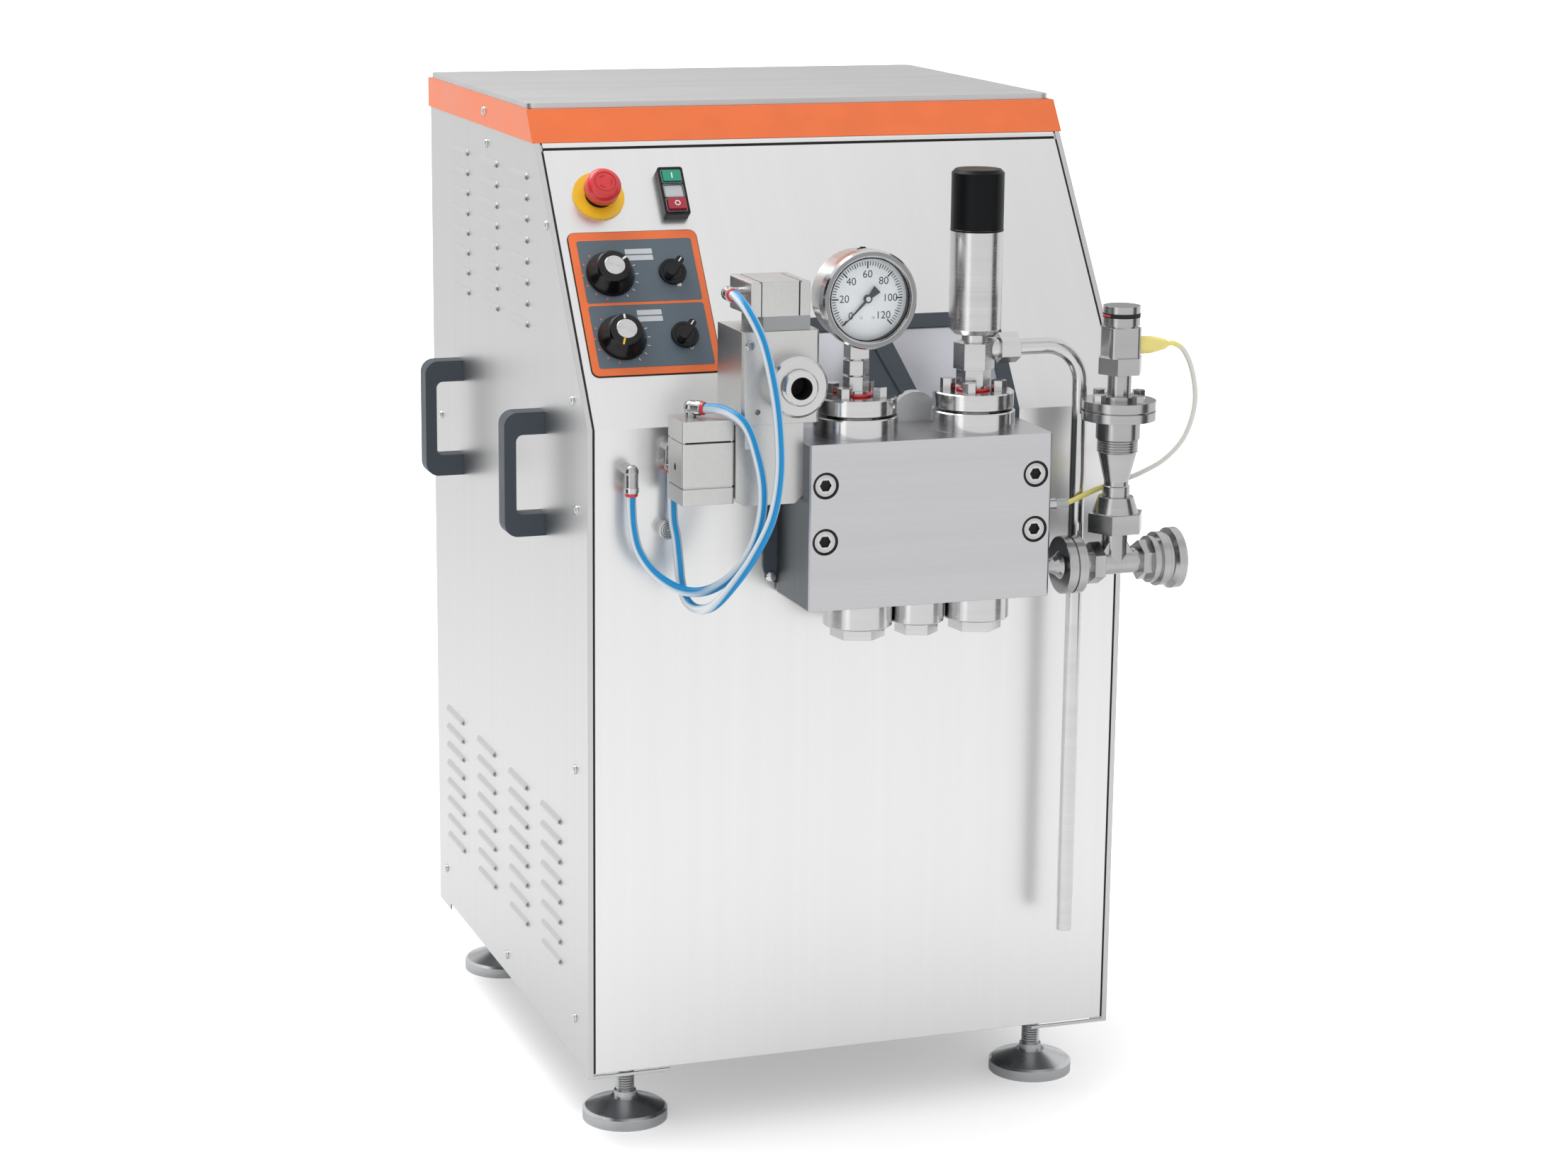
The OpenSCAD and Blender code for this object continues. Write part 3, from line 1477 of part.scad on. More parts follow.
tube_1_path = [
    bulkhead_end, bulkhead_end - [0, 0, 14], [-280, -26, 728], [-275, -34, 703], [-260, -48, 680],
    [-236, -64, 665], [-212, -79, 666], [-188, -94, 684], [-170, -106, 715], [-161, -112, 750],
    [-160, -114, 785], [-166, -112, 820], [-177, -105, 853], lower_elbow_end + 26 * lower_arm_way,
    lower_elbow_end
];
tube_2_path = [
    upper_elbow_end, upper_elbow_end - [0, 14, 0], [-174, -104, 976], [-163, -121, 945],
    [-153, -128, 897], [-148, -132, 850], [-147, -132, 800], [-155, -130, 752], [-174, -124, 710],
    [-194, -112, 676], [-209, -96, 653], [-220, -76, 645], [-227, -56, 650], [-230, -44, 668],
    [-231, -38, 692], [-231, -29, 716], [-232, -19, 738], rear_end - [0, 0, 10], rear_end
];
cable_path = [
    boot_end, boot_end + [10, 0, 0], [350, -95, 911], [362, -94, 886], [367, -93, 850],
    [359, -88, 813], [340, -80, 786], [314, -72, 769], [287, -68, 759], [260, -67, 751],
    [240, -69, 744], [224, -71.5, 739], gland_end + [10, 0, 0], gland_end
];

module air_tube_1() { color("deepskyblue") placed() swept_tube(tube_1_path, tube_d, tube_sides); }
module air_tube_2() { color("deepskyblue") placed() swept_tube(tube_2_path, tube_d, tube_sides); }
module sensor_cable() { color("white") placed() swept_tube(cable_path, cable_d, cable_sides); }

base_frame();
left_side_panel();
right_side_panel();
front_panel();
back_panel();
top_cover();
colour_band();
panel_screws();
side_handles();
foot_front_left();
foot_front_right();
foot_rear_left();
foot_rear_right();
estop_plate();
estop_stem();
estop_head();
switch_housing();
start_button();
stop_button();
pilot_lens();
control_plate();
upper_knob();
lower_knob();
upper_selector();
lower_selector();
pump_block();
head_screws();
valve_covers();
suction_plugs();
gauge_body();
gauge_bezel();
gauge_glass();
gauge_pointer();
relief_body();
relief_cap();
drain_tube();
valve_body();
outlet_union();
lower_valve_block();
upper_air_cylinder();
lower_air_cylinder();
air_fittings();
vent_knob();
window_trim();
splash_guard();
inlet_tee();
inlet_union();
sensor_flanges();
flow_sensor();
crankcase();
left_plunger();
middle_plunger();
right_plunger();
drive_motor();
motor_pulley();
crank_pulley();
drive_belt();
air_tube_1();
air_tube_2();
sensor_cable();
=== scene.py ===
"""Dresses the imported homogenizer: finishes, fitted details, flexible lines, camera and studio."""

import math

import bpy
from mathutils import Matrix, Vector
from mathutils.kdtree import KDTree


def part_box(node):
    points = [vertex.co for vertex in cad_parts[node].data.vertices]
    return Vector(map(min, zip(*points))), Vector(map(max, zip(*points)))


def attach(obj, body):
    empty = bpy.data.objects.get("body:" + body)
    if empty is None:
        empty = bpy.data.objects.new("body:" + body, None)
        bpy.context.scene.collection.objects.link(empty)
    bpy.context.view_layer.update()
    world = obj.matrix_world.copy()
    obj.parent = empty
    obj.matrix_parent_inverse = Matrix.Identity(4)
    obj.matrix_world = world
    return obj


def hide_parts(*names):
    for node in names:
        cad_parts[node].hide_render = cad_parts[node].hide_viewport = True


bl_info = {
    "name": "Homogenizer dressing",
    "version": (1, 0, 0),
    "blender": (4, 5, 0),
    "location": "3D View > Sidebar > Homogenizer",
    "description": "Finishes, fitted details, lines, camera and studio for a plunger homogenizer",
    "category": "Object",
}

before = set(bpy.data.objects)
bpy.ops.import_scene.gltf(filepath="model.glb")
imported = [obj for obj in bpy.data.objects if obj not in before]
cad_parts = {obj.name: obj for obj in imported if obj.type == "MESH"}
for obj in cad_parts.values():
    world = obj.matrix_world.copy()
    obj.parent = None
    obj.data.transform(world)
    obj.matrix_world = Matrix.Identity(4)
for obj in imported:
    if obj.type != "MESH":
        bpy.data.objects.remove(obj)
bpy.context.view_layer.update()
MM = 0.001
WELD = 0.002 * MM

# Places on the machine in millimetres: X across, Y back from the upright front, Z up from the floor.
# On the sloped panel they are X and the way up from the bend. OUT is the way out of a surface.
FRONT_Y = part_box("front_panel")[0].y
BEND_Z = 836
LEAN = math.atan2(243, 337)
PANEL_TOP_S = 353
HALF_PANEL = 316.5
SKIRT_Z = 80
BAND_STRIP, BAND_GAP = (0, 359.6, -1.2), (0, 354.8, -1.9)
SIDE_X, BAND_X = 325, 327.5
COVER_XS = (-30.5, 110.5)
COVER_Y = -53
COVER_TOP = 871
RELIEF_SEAM_Z = 1052
GAUGE_X, GAUGE_Z = -30.5, 983
GAUGE_PLUG = (GAUGE_X, -68, GAUGE_Z + 50.2)
DIAL_OUT, BEZEL_OUT = 84, 96
CONTROL_MID = (-231.5, 155)
PLATE_OUT, FIELD_OUT = 2.0, 2.22
KNOBS = (("upper", -266, 191), ("lower", -266, 111))
SHELL_OUT, POINTER_OUT, KNOB_OUT = 2.4, 24.0, 24.4
SELECTORS = (("upper", -193, 191), ("lower", -193, 111))
GRIP_OUT = 19.4
ESTOP = (-262, 292)
DISC_OUT, ESTOP_OUT = 3, 34.9
SWITCH = (-175, 291)
BUTTON_STEP = 18.5
HOUSING_OUT, START_OUT, STOP_OUT = 11, 14, 16
RISER_X, INLET_Y = 271, -95
SENSOR_CAP_Z = 944
BLOCK_OUT = 110
BLOCK_SCREWS = tuple((x, z) for x in (-85, 165) for z in (719, 782))
BLOCK_MID_Y, BLOCK_MID_Z = -57, 734.5
BLOCK_ENDS = ((-104, -1), (184, 1))
BLOCK_KNURLS = 40
VALVE_OUT = 88
CYLINDER_BAND_Z, CYLINDER_SLIT_Z = 960, 987
BARE_PLATE = (-165, 835.5, VALVE_OUT)
OUTLET = (-118, 893, 90)
VALVE_BOLT = (-168, 938, 90)
VENT_KNOB = (-236, 722, 13.3)
TRIM_SCREW = (-111, 659, 3.5)
FEET = (
    (-259, 75, "front_left"), (259, 75, "front_right"),
    (-259, 635, "rear_left"), (259, 635, "rear_right"),
)
SIDE_SCREWS = (
    (164, 1043), (59, 860), (42, 739), (52, 436), (56, 136),
    (672, 131), (363, 112), (672, 740), (430, 1110),
)
BAND_SCREW = (430, 1148.5)

# Routes of the flexible lines, the same points as the solids follow
AIR_TUBE_1 = (
    (-281, -22, 768), (-281, -22, 754), (-280, -26, 728), (-275, -34, 703), (-260, -48, 680),
    (-236, -64, 665), (-212, -79, 666), (-188, -94, 684), (-170, -106, 715), (-161, -112, 750),
    (-160, -114, 785), (-166, -112, 820), (-177, -105, 853), (-193.72, -78.28, 866),
    (-212.1, -59.9, 866),
)
AIR_TUBE_2 = (
    (-180, -66, 990), (-180, -80, 990), (-174, -104, 976), (-163, -121, 945), (-153, -128, 897),
    (-148, -132, 850), (-147, -132, 800), (-155, -130, 752), (-174, -124, 710), (-194, -112, 676),
    (-209, -96, 653), (-220, -76, 645), (-227, -56, 650), (-230, -44, 668), (-231, -38, 692),
    (-231, -29, 716), (-232, -19, 738), (-232, -15, 781), (-232, -15, 791),
)
SENSOR_CABLE = (
    (327, -95, 920), (337, -95, 920), (350, -95, 911), (362, -94, 886), (367, -93, 850),
    (359, -88, 813), (340, -80, 786), (314, -72, 769), (287, -68, 759), (260, -67, 751),
    (240, -69, 744), (224, -71.5, 739), (216, -72, 738), (206, -72, 738),
)


def tint(red, green, blue):
    """A screen colour of 0 to 255 as linear values."""
    def linear(c):
        c /= 255
        return c / 12.92 if c <= 0.04045 else ((c + 0.055) / 1.055) ** 2.4

    return (linear(red), linear(green), linear(blue))


def length_prop(name, description, default):
    return bpy.props.FloatProperty(
        name=name, description=description, default=default, min=0, precision=4, unit="LENGTH")


def colour_prop(name, description, *screen):
    return bpy.props.FloatVectorProperty(
        name=name, description=description, default=tint(*screen), size=3, min=0, max=1, subtype="COLOR")


class HomogenizerSizes(bpy.types.PropertyGroup):
    """Sizes of the fitted pieces"""

    tube_d: length_prop("Air tube", "Outer diameter of an air tube", 0.011)
    cable_d: length_prop("Sensor cable", "Outer diameter of the sensor's cable", 0.006)
    dial_r: length_prop("Dial", "Radius of the gauge's dial", 0.0468)
    number_h: length_prop("Numbers", "Height of the dial's numbers", 0.0118)
    knob_cap_r: length_prop("Knob cap", "Radius of a knob's spun cap", 0.0118)
    gasket_r: length_prop("Gasket", "Outer radius of a cover's gasket", 0.0195)
    thread_pitch: length_prop("Thread", "Pitch of a foot's thread", 0.003)
    soft_edge: length_prop("Soft edge", "Radius of the sheet's worn edges", 0.0009)


class HomogenizerColours(bpy.types.PropertyGroup):
    """Colours of the finishes"""

    sheet: colour_prop("Sheet", "Brushed sheet of the cabinet", 227, 227, 227)
    cover: colour_prop("Top cover", "Brushed sheet of the top", 198, 198, 199)
    block: colour_prop("Pump block", "Ground steel of the block", 194, 194, 197)
    polish: colour_prop("Polished", "Polished and turned steel", 203, 203, 203)
    alloy: colour_prop("Alloy", "Anodised valve pieces", 200, 200, 199)
    foot: colour_prop("Foot", "Cast levelling feet", 200, 201, 203)
    orange: colour_prop("Orange", "Band and control plate", 238, 112, 48)
    slate: colour_prop("Slate", "Handles and window trim", 58, 68, 76)
    field: colour_prop("Field", "Fields of the control plate", 88, 102, 113)
    red: colour_prop("Red", "Emergency stop and gaskets", 214, 40, 46)
    yellow: colour_prop("Yellow", "Disc under the emergency stop", 246, 196, 36)
    green: colour_prop("Green", "Start button", 0, 148, 118)
    crimson: colour_prop("Crimson", "Stop button", 166, 18, 50)
    blue: colour_prop("Blue", "Air tubes", 0, 142, 206)
    # The guard's colour is near white, lighter than the guard, as painted light in its recess.
    guard: colour_prop("Guard", "Splash guard behind the window", 244, 246, 254)
    boot: colour_prop("Boot", "Sensor's boot", 246, 232, 138)


# Placing


def spot(x, y, z):
    """A place in the cabinet's millimetres as a point of the frame."""
    return Vector((x * MM, FRONT_Y + y * MM, z * MM))


def seat(origin, right, up):
    """A piece's own X to the right, Y up and Z out of its surface."""
    right, up = Vector(right).normalized(), Vector(up).normalized()
    made = Matrix((right, up, right.cross(up))).transposed().to_4x4()
    made.translation = origin
    return made


def on_front(x, z, out=0.0):
    return seat(spot(x, -out, z), (1, 0, 0), (0, 0, 1))


def on_slope(x, s, out=0.0):
    rise = Vector((0, math.sin(LEAN), math.cos(LEAN)))
    outward = Vector((0, -math.cos(LEAN), math.sin(LEAN)))
    return seat(spot(x, 0, BEND_Z) + (rise * s + outward * out) * MM, (1, 0, 0), rise)


def on_top(x, y, z):
    return seat(spot(x, y, z), (1, 0, 0), (0, 1, 0))


def facing(x, y, z, direction):
    """A seat whose Z points along a direction."""
    direction = Vector(direction).normalized()
    helper = Vector((0, 0, 1)) if abs(direction.z) < 0.9 else Vector((0, 1, 0))
    right = helper.cross(direction).normalized()
    return seat(spot(x, y, z), right, direction.cross(right))


def turn(degrees):
    return Matrix.Rotation(math.radians(degrees), 4, "Z")


def shift(x, y, z=0.0):
    return Matrix.Translation((x * MM, y * MM, z * MM))


# Modelling


def begin():
    if bpy.context.mode != "OBJECT":
        bpy.ops.object.mode_set(mode="OBJECT")
    bpy.ops.object.select_all(action="DESELECT")


def edit():
    bpy.ops.object.mode_set(mode="EDIT")
    bpy.ops.mesh.select_all(action="SELECT")


def done():
    bpy.ops.object.mode_set(mode="OBJECT")
    return bpy.context.object


def push(x, y, z):
    bpy.ops.mesh.extrude_region_move(TRANSFORM_OT_translate={"value": (x * MM, y * MM, z * MM)})


def turned(profile, steps=48, degrees=360):
    """Spins a profile of radius and height round Z, as on a lathe."""
    begin()
    bpy.ops.mesh.primitive_plane_add(size=MM)
    edit()
    bpy.ops.mesh.merge(type="CENTER")
    bpy.ops.transform.translate(value=(profile[0][0] * MM, 0, profile[0][1] * MM))
    for (r0, h0), (r1, h1) in zip(profile, profile[1:]):
        push(r1 - r0, 0, h1 - h0)
    bpy.ops.mesh.select_all(action="SELECT")
    bpy.ops.mesh.spin(steps=steps, angle=math.radians(degrees), center=(0, 0, 0), axis=(0, 0, 1))
    bpy.ops.mesh.select_all(action="SELECT")
    bpy.ops.mesh.remove_doubles(threshold=WELD)
    if degrees < 360:
        bpy.ops.mesh.fill_holes(sides=0)
    return done()


def ring(inner, outer, low, high, edge=0.3):
    """A closed ring's profile with softened outer edges."""
    return [
        (inner, low), (outer - edge, low), (outer, low + edge), (outer, high - edge),
        (outer - edge, high), (inner, high), (inner, low),
    ]


def threads(core, root, crest, low, high, pitch):
    """A closed sleeve's profile with thread ridges outside."""
    points, count = [(core, low)], int((high - low) / pitch)
    for i in range(count):
        z = low + i * pitch
        points += [(root, z), (crest, z + pitch * 0.4), (crest, z + pitch * 0.55)]
    return points + [(root, low + count * pitch), (core, low + count * pitch), (core, low)]


def outline(w, h, corner):
    """A flat face with round corners, left in edit mode."""
    begin()
    bpy.ops.mesh.primitive_plane_add(size=1)
    edit()
    bpy.ops.transform.resize(value=(w * MM, h * MM, 1))
    if corner:
        bpy.ops.mesh.bevel(offset=corner * MM, segments=5, affect="VERTICES")
    bpy.ops.mesh.select_all(action="SELECT")


def plate(w, h, t, corner=0.0, edge=0.0):
    """A plate on XY, from zero up, with round corners and a softened top edge."""
    outline(w, h, corner)
    push(0, 0, t)
    if edge:
        bpy.ops.mesh.bevel(offset=edge * MM, segments=2, affect="EDGES")
    return done()


def rim(w, h, width, t, corner):
    """A flat frame on XY, from zero up."""
    outline(w, h, corner)
    bpy.ops.mesh.inset(thickness=width * MM, depth=0)
    bpy.ops.mesh.delete(type="FACE")
    bpy.ops.mesh.select_all(action="SELECT")
    push(0, 0, t)
    return done()


def lettering(text, height, t):
    begin()
    bpy.ops.object.text_add()
    made = bpy.context.object
    made.data.body = text
    made.data.size = height
    made.data.align_x, made.data.align_y = "CENTER", "CENTER"
    made.data.extrude = t * MM / 2
    bpy.ops.object.convert(target="MESH")
    return bpy.context.object


def pick(*objects):
    begin()
    for o in objects:
        o.select_set(True)
    bpy.context.view_layer.objects.active = objects[0]


def place(obj, where):
    pick(obj)
    obj.matrix_world = where
    bpy.ops.object.transform_apply(location=True, rotation=True, scale=True)
    return obj


def repeat(obj, places):
    """Copies a piece to each place, each copy with its own mesh, and joins the copies."""
    made = []
    for where in places:
        pick(obj)
        bpy.ops.object.duplicate()
        made.append(place(bpy.context.object, where))
    bpy.data.objects.remove(obj)
    return unite(made)


def unite(objects):
    pick(*objects)
    if len(objects) > 1:
        bpy.ops.object.join()
    return bpy.context.object


def wear(obj, finish):
    obj.data.materials.clear()
    obj.data.materials.append(finish_of(finish))


def settle(obj, name, finish, where=None, body="cabinet", smooth=35):
    """Cleans a piece, puts it in its place, on its body and in its finish."""
    if where is not None:
        place(obj, where)
    pick(obj)
    edit()
    bpy.ops.mesh.remove_doubles(threshold=WELD)
    bpy.ops.mesh.normals_make_consistent(inside=False)
    done()
    bpy.ops.object.shade_smooth_by_angle(angle=math.radians(smooth))
    obj.name = obj.data.name = name
    wear(obj, finish)
    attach(obj, body)


# Finishes

CLOUD_SCALE = 0.035
PATCH_SCALE = 22.0
RELIEF_DEPTH = 0.0002


def new_node(tree, kind, operation=None):
    made = tree.nodes.new("ShaderNode" + kind)
    if operation:
        made.operation = operation
    return made


def new_group(name, entry, kind, exits):
    """An empty shader group with one entry and some number exits."""
    group = bpy.data.node_groups.new(name, "ShaderNodeTree")
    group.interface.new_socket(name=entry, in_out="INPUT", socket_type=kind)
    for out in exits:
        group.interface.new_socket(name=out, in_out="OUTPUT", socket_type="NodeSocketFloat")
    return group, group.nodes.new("NodeGroupInput"), group.nodes.new("NodeGroupOutput")


def grain_group():
    """Streaks, and their mean with broad clouds, stretched for brushed and turned metal."""
    known = bpy.data.node_groups.get("Brushed Grain")
    if known:
        return known
    group, start, end = new_group("Brushed Grain", "Stretch", "NodeSocketVector", ("Streak", "Blend"))
    where = new_node(group, "TexCoord")
    fine = new_node(group, "VectorMath", "MULTIPLY")
    broad = new_node(group, "VectorMath", "SCALE")
    broad.inputs["Scale"].default_value = CLOUD_SCALE
    streak, cloud = new_node(group, "TexNoise"), new_node(group, "TexNoise")
    for noise, detail in ((streak, 4.0), (cloud, 2.0)):
        noise.inputs["Scale"].default_value = 1.0
        noise.inputs["Detail"].default_value = detail
    total, mean = new_node(group, "Math", "ADD"), new_node(group, "Math", "MULTIPLY")
    mean.inputs[1].default_value = 0.5
    link = group.links.new
    link(where.outputs["Object"], fine.inputs[0])
    link(start.outputs["Stretch"], fine.inputs[1])
    link(fine.outputs["Vector"], broad.inputs[0])
    link(fine.outputs["Vector"], streak.inputs["Vector"])
    link(broad.outputs["Vector"], cloud.inputs["Vector"])
    link(streak.outputs["Fac"], total.inputs[0])
    link(cloud.outputs["Fac"], total.inputs[1])
    link(total.outputs[0], mean.inputs[0])
    link(streak.outputs["Fac"], end.inputs["Streak"])
    link(mean.outputs[0], end.inputs["Blend"])
    return group


def mottle_group():
    """Soft patches and a fine texture, for paint, plastic and castings."""
    known = bpy.data.node_groups.get("Soft Mottle")
    if known:
        return known
    group, start, end = new_group("Soft Mottle", "Texture Scale", "NodeSocketFloat", ("Patch", "Texture"))
    where = new_node(group, "TexCoord")
    patch, texture = new_node(group, "TexNoise"), new_node(group, "TexNoise")
    patch.inputs["Scale"].default_value = PATCH_SCALE
    patch.inputs["Detail"].default_value = 3.0
    texture.inputs["Detail"].default_value = 2.0
    link = group.links.new
    link(where.outputs["Object"], patch.inputs["Vector"])
    link(where.outputs["Object"], texture.inputs["Vector"])
    link(start.outputs["Texture Scale"], texture.inputs["Scale"])
    link(patch.outputs["Fac"], end.inputs["Patch"])
    link(texture.outputs["Fac"], end.inputs["Texture"])
    return group


def new_finish(name, values):
    made = bpy.data.materials.new(name)
    made.use_nodes = True
    shader = made.node_tree.nodes["Principled BSDF"]
    for socket, value in values.items():
        shader.inputs[socket].default_value = value
    return made, made.node_tree, shader


def placed_group(tree, group, **values):
    made = new_node(tree, "Group")
    made.node_tree = group
    for socket, value in values.items():
        made.inputs[socket.replace("_", " ")].default_value = value
    return made


def blend_colours(tree, factor, first, second):
    made = new_node(tree, "Mix")
    made.data_type = "RGBA"
    made.inputs[6].default_value = (*first, 1)
    made.inputs[7].default_value = (*second, 1)
    tree.links.new(factor, made.inputs[0])
    return made.outputs[2]


def spread(tree, value, low, high, from_low=0.3, from_high=0.7):
    """Stretches the middle of a noise over a range."""
    made = new_node(tree, "MapRange")
    limits = {"From Min": from_low, "From Max": from_high, "To Min": low, "To Max": high}
    for socket, number in limits.items():
        made.inputs[socket].default_value = number
    tree.links.new(value, made.inputs["Value"])
    return made.outputs["Result"]


def relief(tree, shader, height, strength, soft_edge=0.0):
    bump = new_node(tree, "Bump")
    bump.inputs["Strength"].default_value = strength
    bump.inputs["Distance"].default_value = RELIEF_DEPTH
    tree.links.new(height, bump.inputs["Height"])
    if soft_edge:
        rounded = new_node(tree, "Bevel")
        rounded.samples = 4
        rounded.inputs["Radius"].default_value = soft_edge
        tree.links.new(rounded.outputs["Normal"], bump.inputs["Normal"])
    tree.links.new(bump.outputs["Normal"], shader.inputs["Normal"])


def shade(colour, amount):
    return tuple(min(1.0, c * amount) for c in colour)


def metal(name, colour, rough, stretch, contrast, swing, bump, soft_edge=0.0006):
    """Brushed or turned metal: contrast of its colour, swing of its roughness and bump of its grain."""
    made, tree, shader = new_finish(name, {"Metallic": 1.0})
    grain = placed_group(tree, grain_group(), Stretch=stretch)
    share = spread(tree, grain.outputs["Blend"], 0.0, 1.0, 0.35, 0.65)
    base = blend_colours(tree, share, shade(colour, 1 - contrast), shade(colour, 1 + contrast / 2))
    dull = spread(tree, grain.outputs["Streak"], rough - swing / 2, rough + swing / 2)
    tree.links.new(base, shader.inputs["Base Color"])
    tree.links.new(dull, shader.inputs["Roughness"])
    relief(tree, shader, grain.outputs["Streak"], bump, soft_edge)
    return made


def moulded(name, colour, rough, texture, bump, coat=0.0, metallic=0.0, soft_edge=0.0005, specular=0.5):
    """Paint, plastic or casting with soft patches and a fine texture."""
    fade, swing = 0.06, 0.1
    made, tree, shader = new_finish(name, {
        "Metallic": metallic, "Coat Weight": coat, "Coat Roughness": 0.08, "Specular IOR Level": specular})
    mottle = placed_group(tree, mottle_group(), Texture_Scale=texture)
    share = spread(tree, mottle.outputs["Patch"], 0.0, 1.0)
    base = blend_colours(tree, share, shade(colour, 1 - fade), shade(colour, 1 + fade / 2))
    dull = spread(tree, mottle.outputs["Patch"], rough - swing / 2, rough + swing / 2)
    tree.links.new(base, shader.inputs["Base Color"])
    tree.links.new(dull, shader.inputs["Roughness"])
    relief(tree, shader, mottle.outputs["Texture"], bump, soft_edge)
    return made


def clear(name, colour, alpha, rough):
    made, tree, shader = new_finish(name, {"Coat Weight": 1.0, "Coat Roughness": 0.03})
    mottle = placed_group(tree, mottle_group(), Texture_Scale=60.0)
    shader.inputs["Base Color"].default_value = (*colour, 1)
    tree.links.new(spread(tree, mottle.outputs["Patch"], alpha * 0.9, alpha * 1.1), shader.inputs["Alpha"])
    tree.links.new(spread(tree, mottle.outputs["Patch"], rough, rough * 1.6), shader.inputs["Roughness"])
    return made


def line_plastic(name, attribute, stops, rough):
    """A line's plastic, whose colour follows an attribute of the line."""
    made, tree, shader = new_finish(
        name, {"Coat Weight": 0.15, "Coat Roughness": 0.1, "Specular IOR Level": 0.3})
    read = new_node(tree, "Attribute")
    read.attribute_name = attribute
    ramp = new_node(tree, "ValToRGB")
    ramp.color_ramp.elements.remove(ramp.color_ramp.elements[1])
    ramp.color_ramp.elements[0].position = stops[0][0]
    ramp.color_ramp.elements[0].color = (*stops[0][1], 1)
    for where, colour in stops[1:]:
        ramp.color_ramp.elements.new(where).color = (*colour, 1)
    mottle = placed_group(tree, mottle_group(), Texture_Scale=300.0)
    tree.links.new(read.outputs["Fac"], ramp.inputs["Fac"])
    tree.links.new(ramp.outputs["Color"], shader.inputs["Base Color"])
    tree.links.new(spread(tree, mottle.outputs["Patch"], rough, rough + 0.08), shader.inputs["Roughness"])
    relief(tree, shader, mottle.outputs["Texture"], 0.03)
    return made


# Grain per metre along X, Y and Z: fine across the brush marks and long along them
UPRIGHT, SIDE_UPRIGHT, ACROSS = (1800, 8, 8), (8, 1800, 8), (8, 700, 700)
ROUND_X, ROUND_Y, ROUND_Z = (1500, 7, 7), (7, 1500, 7), (7, 7, 1500)
EVEN = (300, 300, 300)


